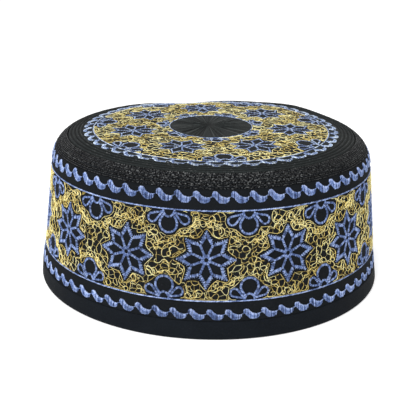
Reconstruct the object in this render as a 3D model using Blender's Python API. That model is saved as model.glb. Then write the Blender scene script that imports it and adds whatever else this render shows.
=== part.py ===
"""Prayer cap: a round, flat-topped cap of black quilted cloth that stands on its rim.

Three turned cloth pieces, open below for the head:
crown_top  the slightly domed top disc, its edge turned down inside as a seam allowance
side_wall  the leaning side, rounded over a shoulder to the seam, thinned where it enters the hem
rim_hem    the folded binding that wraps the wall's lower edge and stands on the table

Units are metres, +Z is up, the origin is the centre of the rim's underside, the front is -Y.
"""
import math
from typing import NamedTuple

import bmesh
import bpy
from mathutils import Vector

# Main form
RIM_RADIUS = 0.0950
WALL_LEAN = 0.1095
WALL_THICKNESS = 0.0024
SHOULDER_HEIGHT = 0.0662
SEAM_RADIUS = 0.0789
SEAM_HEIGHT = 0.0796
SEAM_SLOPE_DEG = 25.3
SHOULDER_HANDLE = 0.4
CROWN_HEIGHT = 0.0830
CROWN_POWER = 6
CROWN_THICKNESS = 0.0022

# Lower edge: the wall swells over the folded hem
SWELL = 0.00035
SWELL_TOP = 0.0200
SWELL_FULL = 0.0100
HEM_HEIGHT = 0.0096
HEM_PROUD = 0.0005
HEM_LEG = 0.0010
HEM_FOLD = 0.0016
HEM_OUTER_CORNER = 0.0014
HEM_INNER_CORNER = 0.0007
HEM_LIP = 0.0003

# Seam between crown and wall
SEAM_ROLL = 0.0009
ALLOWANCE_DEPTH = 0.0030
ALLOWANCE_THICKNESS = 0.0012

# Clearance and fineness
GAP = 0.0003
SEGMENTS = 72
WALL_ROWS = 4
SWELL_ROWS = 3
SHOULDER_ROWS = 7
CROWN_ROWS = 8
CROWN_ROW_SPREAD = 0.6
CORNER_ROWS = 3
LIP_ROWS = 1


class Dent(NamedTuple):
    """One soft dent or swell, around an azimuth (from the front, towards +X) and a height.

    On the crown it grows from a radius, fade_from, out to the seam.
    """

    azimuth_deg: float
    width_deg: float
    height: float
    reach: float
    fade_from: float
    lift: float
    swell: float


DENTS = (
    Dent(azimuth_deg=-166, width_deg=15, height=0.080, reach=0.014, fade_from=0.042, lift=-0.0032, swell=0.0),
    Dent(azimuth_deg=141, width_deg=15, height=0.080, reach=0.012, fade_from=0.030, lift=0.0016, swell=0.0),
    Dent(azimuth_deg=-85, width_deg=32, height=0.011, reach=0.008, fade_from=0.0, lift=0.0, swell=0.0003),
    Dent(azimuth_deg=80, width_deg=26, height=0.012, reach=0.007, fade_from=0.0, lift=0.0, swell=-0.0003),
)


def smooth(value):
    """Ease from 0 to 1 as value runs from 0 to 1, flat outside."""
    t = min(max(value, 0.0), 1.0)
    return t * t * (3.0 - 2.0 * t)


def steps(start, end, count):
    """Evenly spaced values from start to end, both included."""
    return [start + (end - start) * i / count for i in range(count + 1)]


def wall_radius(height):
    """Outer radius of the side at a height below the shoulder."""
    swell = SWELL * smooth((SWELL_TOP - height) / (SWELL_TOP - SWELL_FULL))
    return RIM_RADIUS - WALL_LEAN * height + swell


def shoulder_points():
    """The shoulder's curve from the leaning side in to the crown seam, as (radius, height)."""
    start = Vector((wall_radius(SHOULDER_HEIGHT), SHOULDER_HEIGHT))
    end = Vector((SEAM_RADIUS, SEAM_HEIGHT))
    reach = (end - start).length * SHOULDER_HANDLE
    up = Vector((-WALL_LEAN, 1.0)).normalized()
    slope = math.radians(SEAM_SLOPE_DEG)
    handle_start = start + up * reach
    handle_end = end - Vector((-math.cos(slope), math.sin(slope))) * reach
    points = []
    for t in steps(0.0, 1.0, SHOULDER_ROWS):
        s = 1.0 - t
        point = s**3 * start + 3 * s * s * t * handle_start + 3 * s * t * t * handle_end + t**3 * end
        points.append((point.x, point.y))
    return points


def crown_height(radius):
    """Height of the crown's outer face at a radius."""
    return CROWN_HEIGHT - (CROWN_HEIGHT - SEAM_HEIGHT) * (radius / SEAM_RADIUS) ** CROWN_POWER


def crown_radii(edge):
    """Radii from the axis out to an edge, closer together where the crown turns down."""
    return [edge * share**CROWN_ROW_SPREAD for share in steps(0.0, 1.0, CROWN_ROWS)]


def offset(points, distance):
    """Move a line of (radius, height) points sideways, to the left of the way it runs."""
    moved = []
    for i, (radius, height) in enumerate(points):
        before = points[max(i - 1, 0)]
        after = points[min(i + 1, len(points) - 1)]
        along = Vector((after[0] - before[0], after[1] - before[1])).normalized()
        moved.append((radius - along.y * distance, height + along.x * distance))
    return moved


def arc(centre_radius, centre_height, size, start_deg, end_deg, rows=CORNER_ROWS):
    """Points on a quarter-round corner, angles measured from outwards, anticlockwise."""
    points = []
    for angle_deg in steps(start_deg, end_deg, rows):
        angle = math.radians(angle_deg)
        points.append((centre_radius + size * math.cos(angle), centre_height + size * math.sin(angle)))
    return points


def wall_section():
    """Closed section of the side wall, from its tongue in the hem up to the seam and back."""
    bottom = HEM_FOLD + GAP
    ledge = HEM_HEIGHT + GAP
    inset = HEM_LEG - HEM_PROUD + GAP
    seam_face = SEAM_RADIUS + GAP / 2
    outer_heights = steps(ledge, SWELL_TOP, SWELL_ROWS)
    outer_heights += steps(SWELL_TOP, SHOULDER_HEIGHT, WALL_ROWS)[1:-1]
    outer = [(wall_radius(height), height) for height in outer_heights]
    outer += [point for point in shoulder_points() if point[0] > seam_face + SEAM_ROLL]
    roll_top = outer[-1][1]
    allowance_back = seam_face + ALLOWANCE_THICKNESS
    allowance_foot = SEAM_HEIGHT - ALLOWANCE_DEPTH
    inner = [(wall_radius(ledge) - WALL_THICKNESS, ledge)]
    inner += [point for point in offset(outer, WALL_THICKNESS)[1:] if point[0] > allowance_back]
    section = [(wall_radius(bottom) - inset, bottom)]
    section += [(wall_radius(ledge) - inset, ledge)]
    section += outer
    section += arc(seam_face + SEAM_ROLL, roll_top - SEAM_ROLL, SEAM_ROLL, 90, 180)
    section += [(seam_face, allowance_foot)]
    section += [(allowance_back, allowance_foot)]
    section += [(allowance_back, inner[-1][1])]
    section += reversed(inner)
    section += [(wall_radius(ledge) - WALL_THICKNESS + inset, ledge)]
    section += [(wall_radius(bottom) - WALL_THICKNESS + inset, bottom)]
    return section


def hem_section():
    """Closed U section of the hem: outer leg, round fold with its flat foot, inner leg, channel."""
    outer = HEM_PROUD
    inner = -WALL_THICKNESS - HEM_PROUD
    top = HEM_HEIGHT
    lip = HEM_LIP
    outer_top = wall_radius(top) + outer
    inner_top = wall_radius(top) + inner
    section = arc(outer_top - lip, top - lip, lip, 90, 0, LIP_ROWS)
    section += [(wall_radius(top / 2) + outer, top / 2)]
    corner = HEM_OUTER_CORNER
    section += arc(wall_radius(corner) + outer - corner, corner, corner, 0, -90)
    corner = HEM_INNER_CORNER
    section += arc(wall_radius(corner) + inner + corner, corner, corner, 270, 180)
    section += [(wall_radius(top / 2) + inner, top / 2)]
    section += arc(inner_top + lip, top - lip, lip, 180, 90, LIP_ROWS)
    section += [(inner_top + HEM_LEG, top)]
    section += [(wall_radius(HEM_FOLD) + inner + HEM_LEG, HEM_FOLD)]
    section += [(wall_radius(HEM_FOLD) + outer - HEM_LEG, HEM_FOLD)]
    section += [(outer_top - HEM_LEG, top)]
    return section


def crown_section():
    """Section of the crown from the axis out to the seam, down its allowance and back inside."""
    seam_face = SEAM_RADIUS - GAP / 2
    edge = seam_face - SEAM_ROLL
    foot = SEAM_HEIGHT - ALLOWANCE_DEPTH
    back = seam_face - ALLOWANCE_THICKNESS
    section = [(radius, crown_height(radius)) for radius in crown_radii(edge)]
    section += arc(edge, crown_height(edge) - SEAM_ROLL, SEAM_ROLL, 90, 0)[1:]
    section += [(seam_face, foot)]
    section += [(back, foot)]
    section += [(radius, crown_height(radius) - CROWN_THICKNESS) for radius in reversed(crown_radii(back))]
    return section


def dented(point):
    """Move a point by every dent."""
    radius = math.hypot(point.x, point.y)
    azimuth = math.degrees(math.atan2(point.x, -point.y))
    moved = point.copy()
    for dent in DENTS:
        fade = (min(radius, SEAM_RADIUS) - dent.fade_from) / (SEAM_RADIUS - dent.fade_from)
        if fade <= 0.0:
            continue
        turn = (azimuth - dent.azimuth_deg + 180.0) % 360.0 - 180.0
        rise = (point.z - dent.height) / dent.reach
        share = fade**2 * math.exp(-((turn / dent.width_deg) ** 2) - rise**2)
        moved.z += dent.lift * share
        moved.x += point.x / radius * dent.swell * share
        moved.y += point.y / radius * dent.swell * share
    return moved


def cloth_material(name, colour, roughness):
    """Plain cloth material."""
    material = bpy.data.materials.new(name)
    material.use_nodes = True
    shader = material.node_tree.nodes["Principled BSDF"]
    shader.inputs["Base Color"].default_value = (*colour, 1.0)
    shader.inputs["Roughness"].default_value = roughness
    shader.inputs["Metallic"].default_value = 0.0
    return material


def turned_piece(name, section, material, closed=True):
    """Turn a section about the axis into one closed solid and add it to the scene.

    Args:
        name: object name.
        section: (radius, height) points in order.
        material: its cloth.
        closed: True for a ring, False for a section that starts and ends on the axis.
    """
    shape = bmesh.new()
    verts = [shape.verts.new((0.0, -radius, height)) for radius, height in section]
    pairs = list(zip(verts, verts[1:]))
    if closed:
        pairs.append((verts[-1], verts[0]))
    edges = [shape.edges.new(pair) for pair in pairs]
    bmesh.ops.spin(
        shape,
        geom=verts + edges,
        cent=(0.0, 0.0, 0.0),
        axis=(0.0, 0.0, 1.0),
        angle=math.tau,
        steps=SEGMENTS,
        use_merge=True,
    )
    bmesh.ops.remove_doubles(shape, verts=shape.verts, dist=1e-6)
    for vert in shape.verts:
        vert.co = dented(vert.co)
    bmesh.ops.recalc_face_normals(shape, faces=shape.faces)
    mesh = bpy.data.meshes.new(name)
    shape.to_mesh(mesh)
    shape.free()
    mesh.materials.append(material)
    mesh.shade_smooth()
    mesh.set_sharp_from_angle(angle=math.radians(40.0))
    piece = bpy.data.objects.new(name, mesh)
    bpy.context.scene.collection.objects.link(piece)
    return piece


def build():
    """Build the whole cap."""
    for leftover in list(bpy.data.objects):
        bpy.data.objects.remove(leftover, do_unlink=True)
    crown_cloth = cloth_material("crown_cloth", (0.020, 0.020, 0.021), 0.80)
    wall_cloth = cloth_material("wall_cloth", (0.017, 0.018, 0.020), 0.85)
    hem_cloth = cloth_material("hem_cloth", (0.014, 0.016, 0.018), 0.65)
    turned_piece("crown_top", crown_section(), crown_cloth, closed=False)
    turned_piece("side_wall", wall_section(), wall_cloth)
    turned_piece("rim_hem", hem_section(), hem_cloth)


build()
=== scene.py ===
"""Dressed scene of the embroidered prayer cap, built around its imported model.

The cloth is three turned shells with quilted relief. The embroidery is laid out flat, in
millimetres, and then carried on to the cap's surface as raised satin stitches and gold thread.
The front is -Y and +Z is up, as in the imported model. Azimuths run from the front towards +X.
"""
import logging
import math
from dataclasses import dataclass, field, replace
from enum import Enum
from functools import cached_property
from typing import Callable

import bmesh
import bpy
import numpy as np
from mathutils import Matrix, Vector
from mathutils.geometry import delaunay_2d_cdt


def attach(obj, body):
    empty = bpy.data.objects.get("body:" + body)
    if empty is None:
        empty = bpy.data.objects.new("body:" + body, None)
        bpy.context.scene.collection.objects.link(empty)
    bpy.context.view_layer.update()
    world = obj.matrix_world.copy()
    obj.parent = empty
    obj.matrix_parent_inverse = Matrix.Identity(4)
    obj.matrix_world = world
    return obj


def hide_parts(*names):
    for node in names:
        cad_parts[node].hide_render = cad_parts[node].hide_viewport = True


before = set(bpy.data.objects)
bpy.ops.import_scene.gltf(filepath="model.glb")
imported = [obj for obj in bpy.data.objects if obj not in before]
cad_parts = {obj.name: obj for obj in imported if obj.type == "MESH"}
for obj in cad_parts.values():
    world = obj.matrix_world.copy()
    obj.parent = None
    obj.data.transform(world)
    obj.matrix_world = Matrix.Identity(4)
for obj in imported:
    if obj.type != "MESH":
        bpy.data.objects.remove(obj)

MM = 0.001
LOG = logging.getLogger("prayer_cap")
Array = np.ndarray
Random = np.random.Generator
Surface = Callable[[Array, Array], Array]
Measure = Callable[[Array], Array]
Pair = tuple[float, float]
Triple = tuple[float, float, float]
Colour = Triple
Chart = tuple[Pair, ...]
Socket = bpy.types.NodeSocket


def smooth(value: Array) -> Array:
    """Ease from 0 to 1 as the value runs from 0 to 1, flat outside."""
    t = np.clip(value, 0.0, 1.0)
    return t * t * (3.0 - 2.0 * t)


def turned(points: Array, degrees: float) -> Array:
    """Turn plan points anticlockwise about the origin."""
    angle = math.radians(degrees)
    c, s = math.cos(angle), math.sin(angle)
    return points @ np.array([[c, s], [-s, c]])


def unit(way: Array) -> Array:
    """Directions scaled to length 1."""
    return way / np.maximum(np.linalg.norm(way, axis=-1, keepdims=True), 1e-9)


def crosswise(way: Array) -> Array:
    """Directions turned a quarter to the left."""
    return np.stack([-way[..., 1], way[..., 0]], -1)


def on_circle(angle: Array) -> Array:
    """Unit directions at angles in radians from +X."""
    return np.stack([np.cos(angle), np.sin(angle)], -1)


def from_front(azimuth: Array) -> Array:
    """Unit directions at azimuths in radians."""
    return np.stack([np.sin(azimuth), -np.cos(azimuth)], -1)


def polar(points: Array) -> tuple[Array, Array]:
    """Distances of points from the axis, and their azimuths in radians."""
    x, y = points[..., 0], points[..., 1]
    return np.hypot(x, y), np.arctan2(x, -y)


def apart(azimuth: Array, middle: float) -> Array:
    """Angles in degrees from a middle azimuth, between -180 and 180."""
    return (azimuth - middle + 180.0) % 360.0 - 180.0


# Form of the cap


@dataclass(frozen=True)
class Dent:
    """A soft dent or swell of the cloth, in millimetres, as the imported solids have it."""

    azimuth_deg: float
    width_deg: float
    height: float
    reach: float
    fade_from: float
    lift: float
    swell: float


@dataclass(frozen=True)
class CapForm:
    """The cap's outer surface in millimetres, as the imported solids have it."""

    rim_radius: float = 95.0
    wall_lean: float = 0.1095
    swell: float = 0.35
    swell_top: float = 20.0
    swell_full: float = 10.0
    shoulder_height: float = 66.2
    shoulder_handle: float = 0.4
    seam_radius: float = 78.9
    seam_height: float = 79.6
    seam_slope_deg: float = 25.3
    top_height: float = 83.0
    crown_power: int = 6
    wall_thickness: float = 2.4
    crown_thickness: float = 2.2
    hem_height: float = 9.6
    hem_proud: float = 0.5
    hem_fold: float = 1.6
    hem_leg: float = 1.0
    seam_roll: float = 0.9
    allowance_depth: float = 3.0
    allowance_thickness: float = 1.2
    gap: float = 0.3
    sag_depth: float = 1.1
    sag_centre: Pair = (0.0, -30.0)
    sag_reach: float = 28.0
    sag_from: float = 72.0
    sag_ease: float = 6.0
    dents: tuple[Dent, ...] = (
        Dent(azimuth_deg=-166, width_deg=15, height=80, reach=14, fade_from=42, lift=-3.2, swell=0.0),
        Dent(azimuth_deg=141, width_deg=15, height=80, reach=12, fade_from=30, lift=1.6, swell=0.0),
        Dent(azimuth_deg=-85, width_deg=32, height=11, reach=8, fade_from=0, lift=0.0, swell=0.3),
        Dent(azimuth_deg=80, width_deg=26, height=12, reach=7, fade_from=0, lift=0.0, swell=-0.3),
    )

    def wall_radius(self, height: Array) -> Array:
        """Radius of the leaning wall below the shoulder."""
        swell = self.swell * smooth((self.swell_top - height) / (self.swell_top - self.swell_full))
        return self.rim_radius - self.wall_lean * height + swell

    @cached_property
    def side_line(self) -> Array:
        """The side's profile from the rim to the crown seam, rows of (radius, height)."""
        heights = np.linspace(0.0, self.shoulder_height, 200)
        wall = np.stack([self.wall_radius(heights), heights], 1)
        start, end = wall[-1], np.array([self.seam_radius, self.seam_height])
        reach = np.linalg.norm(end - start) * self.shoulder_handle
        slope = math.radians(self.seam_slope_deg)
        first = start + unit(np.array([-self.wall_lean, 1.0])) * reach
        last = end - np.array([-math.cos(slope), math.sin(slope)]) * reach
        t = np.linspace(0.0, 1.0, 120)[1:, None]
        s = 1.0 - t
        curve = s**3 * start + 3 * s * s * t * first + 3 * s * t * t * last + t**3 * end
        return np.concatenate([wall, curve])

    @cached_property
    def side_run(self) -> Array:
        """Distance along the side's profile, up from the rim, at each of its rows."""
        steps = np.linalg.norm(np.diff(self.side_line, axis=0), axis=1)
        return np.concatenate([[0.0], np.cumsum(steps)])

    def side_radius(self, height: Array) -> Array:
        """Radius of the side at a height, up to the seam."""
        return np.interp(height, self.side_line[:, 1], self.side_line[:, 0])

    def side_height(self, below: Array) -> Array:
        """Height of the side at a distance along the cloth below the seam."""
        return np.interp(self.side_run[-1] - below, self.side_run, self.side_line[:, 1])

    def side_slope(self, height: Array) -> tuple[Array, Array]:
        """How fast the side's radius grows with height, and the length of cloth per unit of height."""
        slope = (self.side_radius(height + 0.2) - self.side_radius(height - 0.2)) / 0.4
        return slope, np.sqrt(1.0 + slope**2)

    def below_seam(self, height: Array) -> Array:
        """Distance along the cloth from the crown seam down to a height."""
        return self.side_run[-1] - np.interp(height, self.side_line[:, 1], self.side_run)

    def crown_level(self, radius: Array) -> Array:
        """Height of the crown at a radius."""
        share = np.minimum(radius, self.seam_radius) / self.seam_radius
        return self.top_height - (self.top_height - self.seam_height) * share**self.crown_power

    def dented(self, points: Array) -> Array:
        """Move points, in millimetres, by every dent and by the crown's slack in front."""
        moved = points.copy()
        off = points[..., :2] - np.array(self.sag_centre)
        away = np.hypot(off[..., 0], off[..., 1]) / self.sag_reach
        slack = smooth((points[..., 2] - self.sag_from) / self.sag_ease)
        moved[..., 2] -= self.sag_depth * np.exp(-(away**2)) * slack
        radius, azimuth = polar(points)
        radius, azimuth = np.maximum(radius, 1e-6), np.degrees(azimuth)
        for dent in self.dents:
            span = self.seam_radius - dent.fade_from
            fade = np.clip((np.minimum(radius, self.seam_radius) - dent.fade_from) / span, 0.0, None)
            turn = apart(azimuth, dent.azimuth_deg)
            rise = (points[..., 2] - dent.height) / dent.reach
            share = fade**2 * np.exp(-((turn / dent.width_deg) ** 2) - rise**2)
            moved[..., 2] += dent.lift * share
            moved[..., 0] += points[..., 0] / radius * dent.swell * share
            moved[..., 1] += points[..., 1] / radius * dent.swell * share
        return moved


@dataclass(frozen=True)
class SidePlan:
    """Flat plan of the side: x runs round the cap at a mean radius, y is the height."""

    form: CapForm
    mean_radius: float = 90.5

    @property
    def length(self) -> float:
        """Length of the plan once round the cap."""
        return math.tau * self.mean_radius

    def azimuth_deg(self, x: Array) -> Array:
        """Azimuths in degrees of places along the plan, between -180 and 180."""
        return np.degrees(x / self.mean_radius + math.pi) % 360.0 - 180.0

    def __call__(self, plan: Array, lift: Array) -> Array:
        """Carry plan points on to the side.

        Args:
            plan: points of shape (..., 2).
            lift: how far each is raised off the cloth.

        Returns:
            Places of shape (..., 3), in millimetres.
        """
        azimuth, height = plan[..., 0] / self.mean_radius, plan[..., 1]
        slope, size = self.form.side_slope(height)
        radius = self.form.side_radius(height) + lift / size
        level = height - lift * slope / size
        return self.form.dented(np.stack([radius * np.sin(azimuth), -radius * np.cos(azimuth), level], -1))


@dataclass(frozen=True)
class Drift:
    """A place on the crown where the sewing has pulled outwards, in millimetres."""

    azimuth_deg: float
    width_deg: float
    radius: float
    reach: float
    push: float


@dataclass(frozen=True)
class CrownPlan:
    """Flat plan of the crown seen from above, centred on the crown's pattern."""

    form: CapForm
    centre: Pair = (-0.5, -2.0)
    drifts: tuple[Drift, ...] = (
        Drift(azimuth_deg=30, width_deg=40, radius=66, reach=17, push=1.5),
        Drift(azimuth_deg=180, width_deg=70, radius=23, reach=10, push=1.6),
    )

    def __call__(self, plan: Array, lift: Array) -> Array:
        """Carry plan points on to the crown, raised off it by lift."""
        size, azimuth = polar(plan)
        size, azimuth = np.maximum(size, 1e-6), np.degrees(azimuth)
        grown = np.ones_like(size)
        for drift in self.drifts:
            turn = apart(azimuth, drift.azimuth_deg)
            far = (size - drift.radius) / drift.reach
            grown = grown + drift.push / size * np.exp(-((turn / drift.width_deg) ** 2) - far**2)
        x, y = plan[..., 0] * grown + self.centre[0], plan[..., 1] * grown + self.centre[1]
        radius = np.hypot(x, y)
        level = self.form.crown_level(radius)
        slope = (self.form.crown_level(radius + 0.1) - self.form.crown_level(radius - 0.1)) / 0.2
        size = np.sqrt(1.0 + slope**2)
        out = lift * -slope / size / np.maximum(radius, 1e-6)
        return self.form.dented(np.stack([x * (1.0 + out), y * (1.0 + out), level + lift / size], -1))


# Finishes


@dataclass(frozen=True)
class Bench:
    """Adds nodes and links to one node tree."""

    tree: bpy.types.NodeTree

    def add(self, kind: str, **values: object) -> bpy.types.Node:
        """Add a node and set its properties."""
        node = self.tree.nodes.new(kind)
        for name, value in values.items():
            setattr(node, name, value)
        return node

    def wire(self, source: object, socket: Socket) -> None:
        """Feed a socket from another socket, or set it to a plain value."""
        if isinstance(source, Socket):
            self.tree.links.new(source, socket)
        else:
            socket.default_value = source

    def feed(self, node: bpy.types.Node, values: dict[str, object]) -> None:
        """Feed a node's inputs by name."""
        for label, source in values.items():
            self.wire(source, node.inputs[label])

    def math(self, operation: str, first: object, second: object = 0.0) -> Socket:
        """Add a math node.

        Args:
            operation: Blender's name of the operation.
            first: a socket or number.
            second: a socket or number.

        Returns:
            The node's result.
        """
        node = self.add("ShaderNodeMath", operation=operation)
        self.wire(first, node.inputs[0])
        self.wire(second, node.inputs[1])
        return node.outputs[0]

    def vector(self, operation: str, first: object, second: object = (0.0, 0.0, 0.0)) -> bpy.types.Node:
        """Add a vector math node."""
        node = self.add("ShaderNodeVectorMath", operation=operation)
        self.wire(first, node.inputs[0])
        self.wire(second, node.inputs[1])
        return node

    def blend(self, share: object, first: object, second: object) -> Socket:
        """Mix two colours by a share."""
        node = self.add("ShaderNodeMix", data_type="RGBA", clamp_factor=True)
        self.feed(node, {"Factor": share, "A": first, "B": second})
        return node.outputs["Result"]

    def span(self, value: object, old: Pair, new: Pair) -> Socket:
        """Map a value's range on to another, and clamp it there.

        Args:
            value: a socket or number.
            old: its range.
            new: what the ends of that range become.

        Returns:
            The result.
        """
        node = self.add("ShaderNodeMapRange", clamp=True)
        for socket, source in zip(node.inputs, (value, *old, *new)):
            self.wire(source, socket)
        return node.outputs[0]

    def noise(self, vector: Socket, scale: float, detail: float = 3.0) -> Socket:
        """Add a noise texture."""
        node = self.add("ShaderNodeTexNoise")
        self.feed(node, {"Vector": vector, "Scale": scale, "Detail": detail})
        return node.outputs["Fac"]

    def bump(self, height: object, strength: object, distance: float) -> Socket:
        """Add a bump."""
        node = self.add("ShaderNodeBump")
        self.feed(node, {"Strength": strength, "Height": height, "Distance": distance})
        return node.outputs["Normal"]


def opaque(colour: Colour) -> tuple[float, float, float, float]:
    """A colour with full alpha, as colour sockets take it."""
    return (*colour, 1.0)


def open_group(name: str, inputs: dict[str, str], outputs: dict[str, str]) -> tuple[Bench, dict, dict]:
    """Start a shader node group with named sockets.

    Args:
        name: the group's name.
        inputs: input names and kinds of socket.
        outputs: output names and kinds of socket.

    Returns:
        The bench, the group's inner inputs and its inner outputs, by name.
    """
    tree = bpy.data.node_groups.new(name, "ShaderNodeTree")
    for label, kind in inputs.items():
        tree.interface.new_socket(name=label, in_out="INPUT", socket_type="NodeSocket" + kind)
    for label, kind in outputs.items():
        tree.interface.new_socket(name=label, in_out="OUTPUT", socket_type="NodeSocket" + kind)
    bench = Bench(tree)
    entry, leave = bench.add("NodeGroupInput"), bench.add("NodeGroupOutput")
    return bench, {s.name: s for s in entry.outputs}, {s.name: s for s in leave.inputs}


def twist_group() -> bpy.types.NodeTree:
    """Colour, roughness and relief of a plied thread, read from the attribute that each stitch carries.

    The attribute holds the place across the thread from 0 to 1, the place along it in
    millimetres, and the stitch's tone from 0 to 1: its own tone plus painted highlight and shade.
    The colour is also darker towards the thread's feet, as painted shade.
    """
    name = "plied_thread"
    if name in bpy.data.node_groups:
        return bpy.data.node_groups[name]
    inputs = {"Deep": "Color", "Body": "Color", "Bright": "Color"}
    inputs |= {"Ply pitch": "Float", "Relief": "Float", "Fleck": "Float"}
    outputs = {"Colour": "Color", "Roughness": "Float", "Normal": "Vector"}
    bench, given, result = open_group(name, inputs, outputs)
    place = bench.add("ShaderNodeAttribute", attribute_name="thread")
    parts = bench.add("ShaderNodeSeparateXYZ")
    bench.wire(place.outputs["Vector"], parts.inputs[0])
    across, along, tone = parts.outputs
    run = bench.math("ADD", bench.math("DIVIDE", along, given["Ply pitch"]), across)
    ply = bench.span(bench.math("SINE", bench.math("MULTIPLY", run, math.tau)), (-1.0, 1.0), (0.0, 1.0))
    fibre = bench.noise(bench.add("ShaderNodeTexCoord").outputs["Object"], 1700.0, 2.0)
    # Painted shade: darker towards the thread's feet, lighter along its ridge.
    flank_shade = bench.math("ABSOLUTE", bench.math("SUBTRACT", across, 0.5))
    shade = bench.math("SUBTRACT", bench.math("ADD", bench.math("MULTIPLY", ply, 0.2), tone), flank_shade)
    fleck = bench.math("MULTIPLY", bench.span(fibre, (0.3, 0.7), (-0.5, 0.5)), given["Fleck"])
    shade = bench.math("ADD", shade, fleck)
    colour = bench.blend(bench.span(shade, (-0.1, 0.5), (0.0, 1.0)), given["Deep"], given["Body"])
    colour = bench.blend(bench.span(shade, (0.5, 1.15), (0.0, 1.0)), colour, given["Bright"])
    bench.wire(colour, result["Colour"])
    bench.wire(bench.span(bench.math("ADD", ply, fibre), (0.4, 1.6), (0.55, 0.36)), result["Roughness"])
    bench.wire(bench.bump(ply, given["Relief"], 0.06 * MM), result["Normal"])
    return bench.tree


def weave_group() -> bpy.types.NodeTree:
    """Relief, yarn, slubs, cloudy wear and lint of plain woven cotton, from a place in millimetres."""
    name = "plain_weave"
    if name in bpy.data.node_groups:
        return bpy.data.node_groups[name]
    inputs = {"Place": "Vector", "Threads per mm": "Float", "Relief": "Float"}
    outputs = {"Normal": "Vector", "Yarn": "Float", "Cloud": "Float", "Slub": "Float", "Lint": "Float"}
    bench, given, result = open_group(name, inputs, outputs)
    wander = bench.add("ShaderNodeTexNoise")
    bench.feed(wander, {"Vector": given["Place"], "Scale": 0.35})
    drift = bench.vector("MULTIPLY", wander.outputs["Color"], (0.6, 0.6, 0.0))
    drifted = bench.vector("ADD", drift.outputs[0], given["Place"])
    parts = bench.add("ShaderNodeSeparateXYZ")
    bench.wire(drifted.outputs[0], parts.inputs[0])
    waves = []
    for axis in (0, 1):
        turn = bench.math("MULTIPLY", parts.outputs[axis], given["Threads per mm"])
        waves.append(bench.math("SINE", bench.math("MULTIPLY", turn, math.pi)))
    yarn = bench.span(bench.math("MULTIPLY", waves[0], waves[1]), (-1.0, 1.0), (0.0, 1.0))
    slub = bench.noise(given["Place"], 1.1, 2.0)
    fine = bench.noise(given["Place"], 9.0, 4.0)
    height = bench.math("ADD", bench.math("MULTIPLY", yarn, 0.6), bench.math("MULTIPLY", fine, 0.5))
    height = bench.math("ADD", height, bench.math("MULTIPLY", slub, 1.2))
    bench.wire(bench.bump(height, given["Relief"], 0.12 * MM), result["Normal"])
    bench.wire(yarn, result["Yarn"])
    bench.wire(bench.noise(given["Place"], 0.08, 4.0), result["Cloud"])
    bench.wire(bench.span(slub, (0.35, 0.68), (0.0, 1.0)), result["Slub"])
    bench.wire(bench.span(bench.noise(given["Place"], 1.7, 6.0), (0.66, 0.74), (0.0, 1.0)), result["Lint"])
    return bench.tree


def new_material(name: str) -> tuple[bpy.types.Material, Bench, bpy.types.Node]:
    """Start a material.

    Args:
        name: the material's name.

    Returns:
        The material, a bench for its nodes and its Principled shader.
    """
    material = bpy.data.materials.new(name)
    material.use_nodes = True
    return material, Bench(material.node_tree), material.node_tree.nodes["Principled BSDF"]


@dataclass(frozen=True)
class ThreadFinish:
    """Lustrous embroidery thread."""

    name: str
    deep: Colour
    body: Colour
    bright: Colour
    sheen: float
    specular: float = 0.25
    ply_pitch: float = 0.9
    relief: float = 0.5
    fleck: float = 0.75

    def material(self) -> bpy.types.Material:
        """The thread's material, made once."""
        if self.name in bpy.data.materials:
            return bpy.data.materials[self.name]
        material, bench, shader = new_material(self.name)
        group = bench.add("ShaderNodeGroup", node_tree=twist_group())
        bench.feed(group, {
            "Deep": opaque(self.deep), "Body": opaque(self.body), "Bright": opaque(self.bright),
            "Ply pitch": self.ply_pitch, "Relief": self.relief, "Fleck": self.fleck,
        })
        bench.feed(shader, {
            "Base Color": group.outputs["Colour"], "Roughness": group.outputs["Roughness"],
            "Normal": group.outputs["Normal"], "Specular IOR Level": self.specular,
            "Sheen Weight": self.sheen, "Sheen Roughness": 0.4,
        })
        return material


class Grain(Enum):
    """What a cloth's weave follows."""

    STRAIGHT = "Object"
    ROUND = "UV"


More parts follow.
